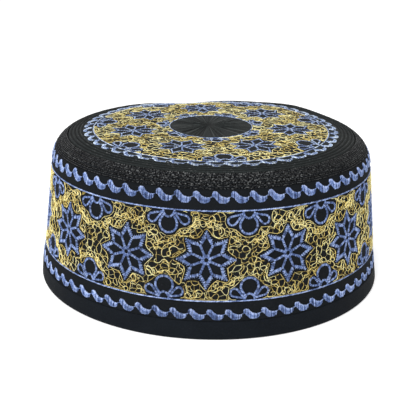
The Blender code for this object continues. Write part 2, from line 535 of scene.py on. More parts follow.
@dataclass(frozen=True)
class ClothFinish:
    """Black cotton, woven straight across the crown or round the side."""

    name: str
    grain: Grain
    shade: Colour
    worn: Colour
    roughness: float
    relief: float
    sheen: float
    threads_per_mm: float = 2.2
    specular: float = 0.05
    lint: Colour = (0.05, 0.05, 0.054)
    # Near-black colour of the painted shade in the grooves between quilted rows.
    furrow_shade: Colour = (0.0014, 0.0015, 0.0017)

    def material(self) -> bpy.types.Material:
        """The cloth's material."""
        material, bench, shader = new_material(self.name)
        place = bench.add("ShaderNodeTexCoord").outputs[self.grain.value]
        if self.grain is Grain.STRAIGHT:
            place = bench.vector("MULTIPLY", place, (1.0 / MM, 1.0 / MM, 1.0 / MM)).outputs[0]
        weave = bench.add("ShaderNodeGroup", node_tree=weave_group())
        bench.feed(weave, {"Place": place, "Threads per mm": self.threads_per_mm, "Relief": self.relief})
        dark = tuple(part * 0.45 for part in self.shade)
        light = tuple(part * 1.5 for part in self.shade)
        colour = bench.blend(weave.outputs["Yarn"], opaque(dark), opaque(self.shade))
        colour = bench.blend(bench.math("MULTIPLY", weave.outputs["Slub"], 0.6), colour, opaque(light))
        cloud = bench.span(weave.outputs["Cloud"], (0.35, 0.7), (0.0, 0.55))
        colour = bench.blend(cloud, colour, opaque(self.worn))
        colour = bench.blend(bench.math("MULTIPLY", weave.outputs["Lint"], 0.5), colour, opaque(self.lint))
        # Painted shade: darken the cloth in the grooves between quilted rows, by the stored point attribute.
        furrow_shade = bench.add("ShaderNodeAttribute", attribute_name="furrow_shade").outputs["Fac"]
        colour = bench.blend(furrow_shade, colour, opaque(self.furrow_shade))
        ends = (self.roughness - 0.06, self.roughness + 0.06)
        bench.feed(shader, {
            "Base Color": self.sewn(bench, place, colour),
            "Roughness": bench.span(weave.outputs["Cloud"], (0.3, 0.7), ends),
            "Normal": weave.outputs["Normal"], "Specular IOR Level": self.specular,
            "Sheen Weight": self.sheen, "Sheen Roughness": 0.45,
        })
        return material

    def sewn(self, bench: Bench, place: Socket, colour: Socket) -> Socket:
        """The colour with the shadows of sewn rows, of which plain cloth has none."""
        return colour


@dataclass(frozen=True)
class CrownRows:
    """Where the crown's stitching lies, in millimetres from the axis."""

    disc_radius: float = 22.2
    field_radius: float = 70.8
    pitch: float = 2.0
    first_ridge: float = 72.0


@dataclass(frozen=True)
class CrownFinish(ClothFinish):
    """Crown cotton with painted light from its stitching: painted highlights and painted shade in rays on the
    disc, painted shade in rings round the margin and over the embroidered field.
    """

    stitching: CrownRows = CrownRows()
    # Where the painted shade over the embroidered field ends.
    ring_radius: float = 64.0
    ray_centre: Pair = (-2.0, 2.5)
    rays: float = 17.0
    # Light colour of the painted highlights on the disc's rays.
    ray_highlight: Colour = (0.055, 0.061, 0.06)
    shadow: Colour = (0.0015, 0.0016, 0.0017)

    def sewn(self, bench: Bench, place: Socket, colour: Socket) -> Socket:
        """The colour with painted shade on the rays, the rings and the embroidered field, and painted
        highlights on the rays.
        """
        disc, field_edge = self.stitching.disc_radius, self.stitching.field_radius
        flat = bench.vector("MULTIPLY", place, (1.0, 1.0, 0.0)).outputs[0]
        radius = bench.vector("LENGTH", flat).outputs["Value"]
        off = bench.vector("SUBTRACT", flat, (*self.ray_centre, 0.0)).outputs[0]
        way = bench.vector("NORMALIZE", off).outputs[0]
        near = bench.span(bench.vector("LENGTH", off).outputs["Value"], (1.0, 6.0), (0.6, 0.0))
        sway = bench.noise(way, self.rays, 3.0)
        on_disc = bench.span(radius, (disc - 1.2, disc), (1.0, 0.0))
        # Painted highlight along some of the disc's rays.
        light = bench.math("MULTIPLY", bench.span(sway, (0.44, 0.34), (0.0, 1.0)), on_disc)
        colour = bench.blend(light, colour, opaque(self.ray_highlight))
        # Painted shade along other rays, stronger near the rays' centre.
        ray = bench.span(sway, (0.5, 0.6), (0.0, 0.9))
        ray = bench.math("MULTIPLY", bench.math("MAXIMUM", ray, near), on_disc)
        # Painted shade in rings between the margin's quilted rows.
        past_ridge = bench.math("SUBTRACT", radius, self.stitching.first_ridge)
        turn = bench.math("MULTIPLY", past_ridge, math.tau / self.stitching.pitch)
        ring = bench.span(bench.math("COSINE", turn), (-1.0, 0.2), (0.85, 0.0))
        on_margin = bench.span(radius, (field_edge - 0.5, field_edge + 0.5), (0.0, 1.0))
        ring = bench.math("MULTIPLY", ring, on_margin)
        # Painted shade over the cloth among the embroidery's threads.
        within = bench.span(radius, (disc, disc + 1.5), (0.0, 0.62))
        not_past = bench.span(radius, (self.ring_radius, self.ring_radius + 2.0), (1.0, 0.0))
        within = bench.math("MULTIPLY", within, not_past)
        shadow = bench.math("MAXIMUM", within, bench.math("MAXIMUM", ray, ring))
        return bench.blend(shadow, colour, opaque(self.shadow))


BLUE_THREAD = ThreadFinish(
    "blue_rayon_thread", deep=(0.012, 0.022, 0.075), body=(0.121, 0.196, 0.435), bright=(0.46, 0.55, 0.81),
    sheen=0.06
)
# The same blue rayon as on the side, with lighter body and near-white bright colours that paint its sheen at
# a grazing angle.
CROWN_BLUE_THREAD = ThreadFinish(
    "blue_rayon_thread_painted_sheen", deep=(0.012, 0.022, 0.08), body=(0.175, 0.262, 0.515), bright=(0.8, 0.91, 1.0),
    sheen=0.1
)
GOLD_THREAD = ThreadFinish(
    "gold_rayon_thread", deep=(0.1, 0.053, 0.006), body=(0.76, 0.562, 0.122), bright=(1.0, 0.94, 0.5),
    sheen=0.02, fleck=0.4
)
BLACK_THREAD = ThreadFinish(
    "black_quilting_thread", deep=(0.002, 0.002, 0.0025), body=(0.021, 0.0225, 0.024),
    bright=(0.125, 0.13, 0.13), sheen=0.02, specular=0.3
)
# The wall's black cotton; its lighter shade and worn colours paint the sheen it shows at a grazing angle.
CROWN_CLOTH = CrownFinish(
    "crown_black_cotton", Grain.STRAIGHT, shade=(0.0142, 0.0172, 0.0174), worn=(0.021, 0.0245, 0.0245),
    roughness=0.88, relief=0.6, sheen=0.04
)
WALL_CLOTH = ClothFinish(
    "wall_black_cotton", Grain.ROUND, shade=(0.0052, 0.0062, 0.0076), worn=(0.0080, 0.0095, 0.0112),
    roughness=0.86, relief=0.6, sheen=0.01
)
HEM_CLOTH = ClothFinish(
    "hem_black_cotton", Grain.ROUND, shade=(0.0042, 0.0056, 0.0078), worn=(0.0070, 0.0088, 0.0115),
    roughness=0.78, relief=0.4, sheen=0.01, threads_per_mm=2.8
)


# Pieces


def add_piece(piece: bpy.types.Object, nodes: tuple[str, ...] = ()) -> bpy.types.Object:
    """Put a finished piece in the scene, on the cap's one body.

    Args:
        piece: the object.
        nodes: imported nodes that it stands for.

    Returns:
        The same object.
    """
    bpy.context.scene.collection.objects.link(piece)
    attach(piece, "root")
    if nodes:
        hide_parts(*nodes)
    triangles = sum(len(face.vertices) - 2 for face in piece.data.polygons)
    LOG.info("%s: %d triangles", piece.name, triangles)
    return piece


@dataclass
class TurnedCloth:
    """A cloth shell turned about the cap's axis from a closed section."""

    form: CapForm
    node: str
    slot: str
    finish: ClothFinish
    segments: int = 288
    weave_radius: float = 92.0

    def section(self) -> Array:
        """Rows of (radius, height), in millimetres."""
        raise NotImplementedError

    def relief(self, radius: Array, azimuth: Array, height: Array) -> tuple[Array, Array]:
        """How far the quilting moves each point, outwards and upwards."""
        raise NotImplementedError

    def furrow_shade(self, radius: Array, azimuth: Array, height: Array) -> Array:
        """Painted shade at each point, from 0 to 1, for lying deep between sewn rows. Plain cloth has none.
        """
        return np.zeros_like(radius)

    def build(self, closed: bool = True) -> bpy.types.Object:
        """Turn, quilt and dress the shell.

        Args:
            closed: True for a ring, False for a section that starts and ends on the axis.

        Returns:
            The finished piece.
        """
        shape = bmesh.new()
        verts = [shape.verts.new((0.0, -radius, height)) for radius, height in self.section()]
        pairs = list(zip(verts, verts[1:])) + ([(verts[-1], verts[0])] if closed else [])
        edges = [shape.edges.new(pair) for pair in pairs]
        bmesh.ops.spin(
            shape, geom=verts + edges, cent=(0, 0, 0), axis=(0, 0, 1), angle=math.tau,
            steps=self.segments, use_merge=True,
        )
        bmesh.ops.remove_doubles(shape, verts=shape.verts, dist=1e-4)
        bmesh.ops.recalc_face_normals(shape, faces=shape.faces)
        mesh = bpy.data.meshes.new(self.node)
        shape.to_mesh(mesh)
        shape.free()
        self.quilt(mesh)
        mesh.materials.append(self.finish.material())
        mesh.shade_smooth()
        mesh.set_sharp_from_angle(angle=math.radians(50.0))
        return add_piece(bpy.data.objects.new(self.node + "_cloth", mesh), (self.node,))

    def quilt(self, mesh: bpy.types.Mesh) -> None:
        """Press the relief and the dents into a mesh, store its painted groove shade, lay its weave map and
        scale it to metres.
        """
        flat = np.empty(len(mesh.vertices) * 3, np.float32)
        mesh.vertices.foreach_get("co", flat)
        points = flat.reshape(-1, 3).astype(float)
        radius, azimuth = polar(points)
        out, up = self.relief(radius, azimuth, points[:, 2])
        # Store the painted groove shade as a point attribute.
        layer = mesh.attributes.new("furrow_shade", "FLOAT", "POINT")
        layer.data.foreach_set("value", self.furrow_shade(radius, azimuth, points[:, 2]).astype(np.float32))
        points[:, :2] *= (1.0 + out / np.maximum(radius, 1e-6))[:, None]
        points[:, 2] += up
        points = self.form.dented(points)
        mesh.vertices.foreach_set("co", (points * MM).astype(np.float32).ravel())
        self.lay_weave(mesh, azimuth, points[:, 2])

    def lay_weave(self, mesh: bpy.types.Mesh, azimuth: Array, height: Array) -> None:
        """Lay a map in millimetres round the cap, so that the weave follows the side."""
        corner = np.empty(len(mesh.loops), np.int32)
        mesh.loops.foreach_get("vertex_index", corner)
        total = np.array([len(face.vertices) for face in mesh.polygons])
        owner = np.repeat(np.arange(len(total)), total)
        first = np.concatenate([[0], np.cumsum(total)[:-1]])
        turn = azimuth[corner]
        base = turn[first][owner]
        turn = base + (turn - base + math.pi) % math.tau - math.pi
        layer = mesh.uv_layers.new(name="weave_mm")
        place = np.stack([turn * self.weave_radius, height[corner]], 1)
        layer.data.foreach_set("uv", place.astype(np.float32).ravel())


@dataclass
class CrownCloth(TurnedCloth):
    """The crown's top cloth: radial stitching on the centre disc, rings of quilting at the margin."""

    stitching: CrownRows = CrownRows()
    disc_ribs: int = 96
    rib_height: float = 0.12
    pucker_height: float = 0.10
    row_depth: float = 0.3

    def section(self) -> Array:
        """From the axis out to the seam, down the allowance and back under the cloth."""
        form, disc, field_edge = self.form, self.stitching.disc_radius, self.stitching.field_radius
        seam_face = form.seam_radius - form.gap / 2
        edge = seam_face - form.seam_roll
        back = seam_face - form.allowance_thickness
        foot = form.seam_height - form.allowance_depth
        outer = np.concatenate([
            np.linspace(0.0, disc, 13),
            np.linspace(disc, field_edge, 30)[1:],
            np.linspace(field_edge, edge, 36)[1:],
        ])
        top = np.stack([outer, form.crown_level(outer)], 1)
        angle = np.radians(np.linspace(90.0, 0.0, 5)[1:])
        middle = np.array([edge, form.crown_level(np.array(edge)) - form.seam_roll])
        roll = middle + form.seam_roll * on_circle(angle)
        under = np.concatenate([np.linspace(back, back - 3.0, 5), np.linspace(back - 3.0, 0.0, 14)[1:]])
        lining = np.stack([under, form.crown_level(under) - form.crown_thickness], 1)
        return np.concatenate([top, roll, [[seam_face, foot], [back, foot]], lining])

    def relief(self, radius: Array, azimuth: Array, height: Array) -> tuple[Array, Array]:
        """Radial ribs on the disc, puckers under the embroidery, rings on the margin."""
        disc, field_edge = self.stitching.disc_radius, self.stitching.field_radius
        top = height > self.form.crown_level(radius) - 0.4
        uneven = np.sin(azimuth * 7 + 1.0) * np.sin(azimuth * 13) + 0.6 * np.sin(azimuth * 29 + 2.0)
        rib = np.cos(azimuth * self.disc_ribs) * (0.6 + 0.4 * uneven) + 0.5 * uneven
        rib *= smooth(radius / 9.0) * smooth((disc - radius) / 1.2)
        pucker = np.sin(azimuth * 41 + radius * 0.9) * np.sin(radius * 1.3 - azimuth * 29)
        pucker *= smooth((radius - disc) / 2.0) * smooth((field_edge - radius) / 3.0)
        margin = smooth((radius - field_edge + 0.5) / 0.8)
        ring = np.cos((radius - self.stitching.first_ridge) / self.stitching.pitch * math.tau)
        ring *= 1.0 + 0.35 * np.sin(azimuth * 37 + radius) * np.sin(azimuth * 11 - radius)
        up = self.rib_height * rib + self.pucker_height * pucker + self.row_depth * ring * margin
        return np.zeros_like(radius), np.where(top, up, 0.0)


@dataclass
class WallCloth(TurnedCloth):
    """The side cloth: smooth round the band, quilted over the shoulder, thinned into the hem."""

    quilted_run: float = 9.6
    row_pitch: float = 2.05
    row_depth: float = 0.26
    first_ridge: float = 1.75
    pucker_height: float = 0.06
    # Strength of the painted shade in the grooves between rows.
    furrow_shade_depth: float = 0.85

    def section(self) -> Array:
        """From the tongue in the hem up the outer face, over the shoulder and down inside."""
        form = self.form
        bottom, ledge = form.hem_fold + form.gap, form.hem_height + 0.08
        inset = form.hem_leg - form.hem_proud + form.gap
        seam_face = form.seam_radius + form.gap / 2
        back = seam_face + form.allowance_thickness
        foot = form.seam_height - form.allowance_depth
        whole = form.side_run[-1]
        low = float(np.interp(ledge, form.side_line[:, 1], form.side_run))
        runs = np.concatenate([np.linspace(low, whole - 16.0, 34), np.linspace(whole - 16.0, whole, 56)[1:]])
        line = np.stack([np.interp(runs, form.side_run, form.side_line[:, i]) for i in (0, 1)], 1)
        outer = line[line[:, 0] > seam_face + form.seam_roll]
        angle = np.radians(np.linspace(90.0, 180.0, 5))
        centre = np.array([seam_face + form.seam_roll, outer[-1, 1] - form.seam_roll])
        roll = centre + form.seam_roll * on_circle(angle)
        inner = outer + form.wall_thickness * crosswise(unit(np.gradient(outer, axis=0)))
        inner = inner[(inner[:, 0] > back) & (inner[:, 1] > ledge + 0.5)][::4]
        low_wall = float(form.wall_radius(np.array(bottom)))
        high_wall = float(form.wall_radius(np.array(ledge)))
        thickness = form.wall_thickness
        tongue_out = [[low_wall - inset, bottom], [high_wall - inset, ledge]]
        allowance = [[seam_face, foot], [back, foot], [back, inner[-1, 1]]]
        tongue_in = [
            [high_wall - thickness, ledge],
            [high_wall - thickness + inset, ledge],
            [low_wall - thickness + inset, bottom],
        ]
        return np.concatenate([tongue_out, outer, roll, allowance, inner[::-1], tongue_in])

    def ring(self, below: Array, azimuth: Array) -> Array:
        """The rows' wave at distances below the seam: 1 on a ridge, -1 in the groove between rows."""
        return np.cos((below - self.first_ridge) / self.row_pitch * math.tau + 0.4 * np.sin(azimuth * 9))

    def relief(self, radius: Array, azimuth: Array, height: Array) -> tuple[Array, Array]:
        """Quilted rows over the shoulder and faint puckers down the wall."""
        form = self.form
        outside = radius > form.side_radius(height) - 0.4
        below = form.below_seam(height)
        rows = smooth((self.quilted_run - below) / 1.0) * smooth((below - 0.8) / 0.5)
        ring = self.ring(below, azimuth)
        tuck = np.sin(azimuth * 96 + np.sin(below * 4.6) * 1.7) * np.sin(azimuth * 61 + below * 3.1)
        lift = self.row_depth * rows * (0.8 * ring + 0.5 * tuck)
        pucker = np.sin(azimuth * 23 + height * 0.21) * np.sin(height * 0.37 - azimuth * 11)
        lift += self.pucker_height * pucker
        slope, size = form.side_slope(height)
        lift = np.where(outside & (height > form.hem_height + 1.0), lift, 0.0)
        return lift / size, -lift * slope / size

    def furrow_shade(self, radius: Array, azimuth: Array, height: Array) -> Array:
        """Painted shade in the grooves between the quilted rows."""
        below = self.form.below_seam(height)
        rows = smooth((self.quilted_run - below) / 0.8)
        return self.furrow_shade_depth * rows * smooth(-self.ring(below, azimuth) * 1.3 + 0.1)


@dataclass
class HemBinding(TurnedCloth):
    """The folded binding round the wall's lower edge, on which the cap stands."""

    outer_corner: float = 1.4
    inner_corner: float = 0.7
    lip: float = 0.3
    waver: float = 0.05

    def section(self) -> Array:
        """U section: outer leg, round fold with its flat foot, inner leg, channel."""
        form = self.form
        top = form.hem_height
        out, inn = form.hem_proud, -form.wall_thickness - form.hem_proud

        def wall(height: float) -> float:
            """Radius of the wall at a height."""
            return float(form.wall_radius(np.array(height)))

        def corner(radius: float, height: float, size: float, start: float, end: float) -> Array:
            """Points of a rounded corner."""
            angle = np.radians(np.linspace(start, end, 6))
            return np.array([radius, height]) + size * on_circle(angle)

        big, small, lip = self.outer_corner, self.inner_corner, self.lip
        leg, fold = form.hem_leg, form.hem_fold
        face = np.linspace(top - 2 * lip, 2 * big, 9)[:, None]
        outer_face = np.concatenate([form.wall_radius(face) + out, face], 1)
        rise = np.linspace(2 * small, top - 2 * lip, 5)[:, None]
        inner_face = np.concatenate([form.wall_radius(rise) + inn, rise], 1)
        return np.concatenate([
            corner(wall(top) + out - lip, top - lip, lip, 90, 0),
            outer_face,
            corner(wall(big) + out - big, big, big, 0, -90),
            corner(wall(small) + inn + small, small, small, 270, 180),
            inner_face,
            corner(wall(top) + inn + lip, top - lip, lip, 180, 90),
            [[wall(top) + inn + leg, top], [wall(fold) + inn + leg, fold]],
            [[wall(fold) + out - leg, fold], [wall(top) + out - leg, top]],
        ])

    def relief(self, radius: Array, azimuth: Array, height: Array) -> tuple[Array, Array]:
        """The fold's slight waver between its hidden stitches."""
        outside = (radius > self.form.wall_radius(height) - 0.2) & (height > 1.0)
        waver = self.waver * np.sin(azimuth * 60) * np.sin(height / self.form.hem_height * math.pi)
        return np.where(outside, waver, 0.0), np.zeros_like(radius)


# Thread


@dataclass(frozen=True)
class Stitches:
    """Satin stitches on a plan: each runs from a start to an end, in millimetres."""

    start: Array
    end: Array
    width: Array
    rise: Array
    sharp: Array
    shade: Array

    @staticmethod
    def of(
        start: Array, end: Array, width: float, rise: float, sharp: float = 0.88,
        shade: Pair = (0.5, 0.5),
    ) -> "Stitches":
        """Stitches that share one form.

        Args:
            start: plan points where they start.
            end: plan points where they end.
            width: their width.
            rise: height of their ridge.
            sharp: share of the length at which the far end starts to narrow.
            shade: tone of the start and of the end; a higher tone at one end is a painted highlight there.

        Returns:
            The set.
        """
        count = len(start)
        whole = [np.full(count, value) for value in (width, rise, sharp)]
        return Stitches(start, end, *whole, np.tile(np.array(shade), (count, 1)))

    @staticmethod
    def join(parts: "list[Stitches]") -> "Stitches":
        """Several sets as one."""
        names = ("start", "end", "width", "rise", "sharp", "shade")
        return Stitches(*(np.concatenate([getattr(part, name) for part in parts]) for name in names))

    def moved(self, change: Measure) -> "Stitches":
        """The set with its plan points changed."""
        return replace(self, start=change(self.start), end=change(self.end))

    def placed(self, centre: Array, turn_deg: float = 0.0, scale: float = 1.0) -> "Stitches":
        """The set scaled, turned and moved to a centre on the plan."""
        return self.moved(lambda points: turned(points * scale, turn_deg) + centre)


def bent(points: Array, radius: float) -> Array:
    """Bend (run, radius) points round the crown, with true lengths at one radius."""
    return points[:, 1:2] * from_front(points[:, 0] / radius)


def resampled(path: Array, pitch: float) -> tuple[Array, Array]:
    """Walk a path at even steps.

    Args:
        path: rows of plan points.
        pitch: distance between steps.

    Returns:
        The points, and the unit directions at them.
    """
    steps = np.linalg.norm(np.diff(path, axis=0), axis=1)
    run = np.concatenate([[0.0], np.cumsum(steps)])
    count = max(int(round(run[-1] / pitch)), 2)
    at = np.linspace(0.0, run[-1], count + 1)
    points, ahead, behind = (
        np.stack([np.interp(at + shift, run, path[:, i]) for i in (0, 1)], 1) for shift in (0.0, 0.05, -0.05)
    )
    return points, unit(ahead - behind)


def satin_band(path: Array, width: float, pitch: float, rng: Random) -> Stitches:
    """Satin stitches laid side by side across a path.

    Args:
        path: rows of plan points.
        width: length of the stitches.
        pitch: distance from one to the next.
        rng: source of their uneven ends.

    Returns:
        The stitches.
    """
    points, way = resampled(path, pitch)
    left = width / 2 + rng.uniform(-0.08, 0.1, len(points))
    right = width / 2 + rng.uniform(-0.08, 0.1, len(points))
    across = crosswise(way)
    return Stitches.of(points - across * right[:, None], points + across * left[:, None], pitch * 1.05, 0.34)


def stem_line(path: Array, rng: Random, width: float) -> Stitches:
    """A thin line of long stitches that overlap along a path."""
    points, _ = resampled(path, 0.55)
    start, end = points[:-4:2], points[4::2]
    across = crosswise(unit(end - start))
    slant = (0.16 + rng.uniform(-0.05, 0.05, len(start)))[:, None]
    return Stitches.of(start - across * slant, end + across * slant, width, 0.36, shade=(0.6, 0.75))


SIDES = ((0, 1), (1, 2), (2, 0))


@dataclass
class ThreadMesh:
    """Collects many small thread solids and joins them in one mesh.

    A thread's section has three points, left foot, ridge and right foot, and SIDES pairs them.
    """

    surface: Surface
    rng: Random
    points: list[Array] = field(default_factory=list)
    marks: list[Array] = field(default_factory=list)
    quads: list[Array] = field(default_factory=list)
    triangles: list[Array] = field(default_factory=list)
    size: int = 0

    def add(self, points: Array, marks: Array, quads: Array, triangles: Array) -> None:
        """Add points in millimetres with their thread attribute, and faces that count from them."""
        self.points.append(points)
        self.marks.append(marks)
        self.quads.append(quads + self.size)
        self.triangles.append(triangles + self.size)
        self.size += len(points)

    def sections(self, centre: Array, way: Array, width: Array, foot: Array, rise: Array) -> Array:
        """Three-point sections of threads: left foot, ridge and right foot.

        Args:
            centre: plan points of shape (..., 2).
            way: unit directions of the same shape.
            width: widths.
            foot: lift of the feet.
            rise: height of the ridge above the feet.

        Returns:
            Places of shape (..., 3 points, 3).
        """
        across = crosswise(way) * (width / 2)[..., None]
        plan = np.stack([centre + across, centre, centre - across], -2)
        return self.surface(plan, np.stack([foot, foot + rise, foot], -1))

    def marks_for(self, along: Array, tone: Array) -> Array:
        """The thread attribute of three-point sections, from their runs and tones."""
        across = np.broadcast_to(np.array([0.0, 0.5, 1.0]), (*along.shape, 3))
        run, own = (np.broadcast_to(value[..., None], across.shape) for value in (along, tone))
        return np.stack([across, run, own], -1)

    def lay_stitches(
        self, stitches: Stitches, blunt: float = 0.13, middle: bool = False, dip: float = 0.0,
        uneven: float = 0.45, height: float = 1.0,
    ) -> None:
        """Lay satin stitches.

        Args:
            stitches: the set.
            blunt: share of the length at which the near end has its whole width.
            middle: True to add a section halfway, for long stitches on a curve.
            dip: painted shade, how much darker the halfway section is than the ends.
            uneven: how far the stitches' tones stray.
            height: share of the set's own height.
        """
        rng, count = self.rng, len(stitches.start)
        share = np.stack([np.full(count, blunt), stitches.sharp], 1)
        if middle:
            share = np.insert(share, 1, 0.5, axis=1)
        rows = share.shape[1]
        way = stitches.end - stitches.start
        length = np.linalg.norm(way, axis=1)
        heading = unit(way)[:, None, :].repeat(rows, 1)
        centre = stitches.start[:, None, :] + way[:, None, :] * share[..., None]
        width = (stitches.width * rng.uniform(0.9, 1.12, count))[:, None] * np.ones_like(share)
        rise = (stitches.rise * height * rng.uniform(0.8, 1.15, count))[:, None] * np.ones_like(share)
        feet = np.zeros_like(share) + rng.uniform(0.0, 0.09, count)[:, None]
        body = self.sections(centre, heading, width, feet, rise).reshape(count, rows * 3, 3)
        tips = self.surface(np.stack([stitches.start, stitches.end], 1), np.full((count, 2), -0.08))
        own = rng.uniform(-uneven, uneven, count)[:, None]
        low, high = stitches.shade[:, :1], stitches.shade[:, 1:]
        # Painted light: the tone runs from the start's to the end's, and dips halfway as painted shade.
        tone = own + low + (high - low) * share - dip * (np.abs(share - 0.5) < 0.1)
        marks = self.marks_for(share * length[:, None], tone)
        tip_run = np.stack([0.0 * length, length], 1)
        tip_marks = np.stack([np.full((count, 2), 0.5), tip_run, own + stitches.shade], -1)
        points = np.concatenate([body, tips], 1).reshape(-1, 3)
        marks = np.concatenate([marks.reshape(count, rows * 3, 3), tip_marks], 1).reshape(-1, 3)
        first, last = rows * 3, rows * 3 + 1
        quads = [
            (row * 3 + a, row * 3 + b, row * 3 + 3 + b, row * 3 + 3 + a)
            for row in range(rows - 1) for a, b in SIDES
        ]
        caps = [(first, b, a) for a, b in SIDES] + [(a + first - 3, b + first - 3, last) for a, b in SIDES]
        shift = np.arange(count)[:, None, None] * (rows * 3 + 2)
        self.add(points, marks, (shift + quads).reshape(-1, 4), (shift + caps).reshape(-1, 3))

    def lay_runs(self, runs: list[Array], size: Pair, foot: Pair, tones: Pair) -> None:
        """Lay open runs of thread, each swaying over and under its neighbours.

        Args:
            runs: plan points of each run.
            size: the thread's width and height.
            foot: lowest and highest lift of a run's feet.
            tones: lowest and highest tone of a run.
        """
        width, rise = size
        rng = self.rng
        points = np.concatenate(runs)
        sizes = np.array([len(run) for run in runs])
        owner = np.repeat(np.arange(len(runs)), sizes)
        last = np.cumsum(sizes) - 1
        first = last - sizes + 1
        index = np.arange(len(points))
        way = unit(points[np.minimum(index + 1, last[owner])] - points[np.maximum(index - 1, first[owner])])
        steps = np.linalg.norm(np.diff(points, axis=0, prepend=points[:1]), axis=1)
        steps[first] = 0.0
        along = np.cumsum(steps)
        along -= along[first][owner]
        turn = along * 0.9 + rng.uniform(0.0, math.tau, len(runs))[owner]
        lift = rng.uniform(*foot, len(runs))[owner] + 0.4 * rise * np.sin(turn)
        taper = np.ones(len(points))
        taper[first] = taper[last] = 0.5
        thick = width * taper * rng.uniform(0.85, 1.15, len(runs))[owner]
        tone = rng.uniform(*tones, len(runs))[owner] + 0.3 * np.sin(turn * 2.3)
        body = self.sections(points, way, thick, lift, rise * taper).reshape(-1, 3)
        marks = self.marks_for(along, tone).reshape(-1, 3)
        here = np.delete(index, last) * 3
        quads = [np.stack([here + a, here + b, here + 3 + b, here + 3 + a], 1) for a, b in SIDES]
        caps = np.concatenate([first[:, None] * 3 + [2, 1, 0], last[:, None] * 3 + [0, 1, 2]])
        self.add(body, marks, np.concatenate(quads), caps)

    def piece(self, name: str, finish: ThreadFinish, slot: str) -> bpy.types.Object:
        """Join everything laid so far in one piece.

        Args:
            name: the piece's name.
            finish: its thread.
            slot: the record's material slot of the cloth that it is sewn to; not used.

        Returns:
            The finished piece.
        """
        mesh = bpy.data.meshes.new(name)
        points = (np.concatenate(self.points) * MM).astype(np.float32)
        quads, triangles = np.concatenate(self.quads), np.concatenate(self.triangles)
        corners = np.concatenate([quads.ravel(), triangles.ravel()]).astype(np.int32)
        starts = np.concatenate([np.arange(len(quads)) * 4, len(quads) * 4 + np.arange(len(triangles)) * 3])
        mesh.vertices.add(len(points))
        mesh.vertices.foreach_set("co", points.ravel())
        mesh.loops.add(len(corners))
        mesh.loops.foreach_set("vertex_index", corners)
        mesh.polygons.add(len(starts))
        mesh.polygons.foreach_set("loop_start", starts.astype(np.int32))
        mesh.update(calc_edges=True)
        mark = mesh.attributes.new("thread", "FLOAT_VECTOR", "POINT")
        mark.data.foreach_set("vector", np.concatenate(self.marks).astype(np.float32).ravel())
        mesh.shade_smooth()
        mesh.materials.append(finish.material())
        return add_piece(bpy.data.objects.new(name, mesh))


# Motifs


@dataclass(frozen=True)
class StarMotif:
    """Eight-pointed star: a toothed satin outline, eight ribs and a ring, with bare kites between."""

    tip: float = 14.2
    notch: float = 8.9
    kite_end: float = 10.7
    rib_end: float = 6.8
    rib_width: float = 1.3
    ring_out: float = 2.6
    ring_in: float = 1.0
    points: int = 8
    edge_pitch: float = 0.56
    pitch: float = 0.5
    teeth: Pair = (0.3, 0.7)

    @property
    def half_step(self) -> float:
        """Angle from a tip to the next notch, in radians."""
        return math.pi / self.points

    def stitches(self, rng: Random) -> Stitches:
        """The whole star round the origin, one tip along +Y."""
        parts, middle = [], np.zeros(2)
        for k in range(self.points):
            turn = 90.0 + k * 360.0 / self.points
            parts.append(self.edge(rng).placed(middle, turn))
            parts.append(self.edge(rng).moved(lambda points: points * [1.0, -1.0]).placed(middle, turn))
            spoke = np.array([[self.ring_out - 0.4, 0.0], [(self.rib_end + self.notch) / 2, 0.0]])
            rib = satin_band(spoke, self.rib_width, self.pitch, rng)
            parts.append(rib.placed(middle, turn + math.degrees(self.half_step)))
        ring = (self.ring_out + self.ring_in) / 2 * on_circle(np.linspace(0.0, math.tau, 49))
        parts.append(satin_band(ring, self.ring_out - self.ring_in, 0.4, rng))
        return Stitches.join(parts)

    def edge(self, rng: Random) -> Stitches:
        """Slanted stitches on one side of the tip that points along +X, from notch to tip."""
        turn = np.array([math.cos(self.half_step), math.sin(self.half_step)])
        notch, tip = self.notch * turn, np.array([self.tip, 0.0])
        inner_notch, kite_end = self.rib_end * turn, np.array([self.kite_end, 0.0])
        way = unit(tip - notch)
        inward = -crosswise(way)
        count = int(np.linalg.norm(tip - notch) / self.edge_pitch)
        outer = notch + (tip - notch) * (np.arange(count)[:, None] + 0.4) / count
        chord = kite_end - inner_notch
        gap = inner_notch - outer
        cross = inward[0] * chord[1] - inward[1] * chord[0]
        reach = (gap[:, 0] * chord[1] - gap[:, 1] * chord[0]) / cross
        share = (gap[:, 0] * inward[1] - gap[:, 1] * inward[0]) / cross
        reach = np.where(share > 1.0, outer[:, 1] / -inward[1], reach)
        inner = outer + inward * reach[:, None]
        inner = np.where((share < 0.0)[:, None], inner_notch, inner)
        long, short = rng.uniform(*self.teeth, count), rng.uniform(-0.2, 0.1, count)
        tooth = np.where(np.arange(count) % 2 > 0, long, short)
        outer = outer - inward * tooth[:, None] + way * 0.1
        return Stitches.of(inner, outer, self.edge_pitch * 1.05, 0.38, sharp=0.74, shade=(0.5, 0.65))

    def clearance(self, points: Array) -> Array:
        """Distance of plan points outside the star's outline, negative within."""
        radius = np.hypot(points[..., 0], points[..., 1])
        angle = np.arctan2(points[..., 0], points[..., 1])
        wedge = 2 * self.half_step
        folded = np.abs((angle + self.half_step) % wedge - self.half_step)
        x, y = radius * np.cos(folded), radius * np.sin(folded)
        tip = np.array([self.tip + 0.2, 0.0])
        way = unit(self.notch * np.array([math.cos(self.half_step), math.sin(self.half_step)]) - tip)
        side = (x - tip[0]) * way[1] - (y - tip[1]) * way[0]
        ahead = (x - tip[0]) * way[0] + (y - tip[1]) * way[1]
        return np.where(ahead < 0.0, np.hypot(x - tip[0], y - tip[1]), side)


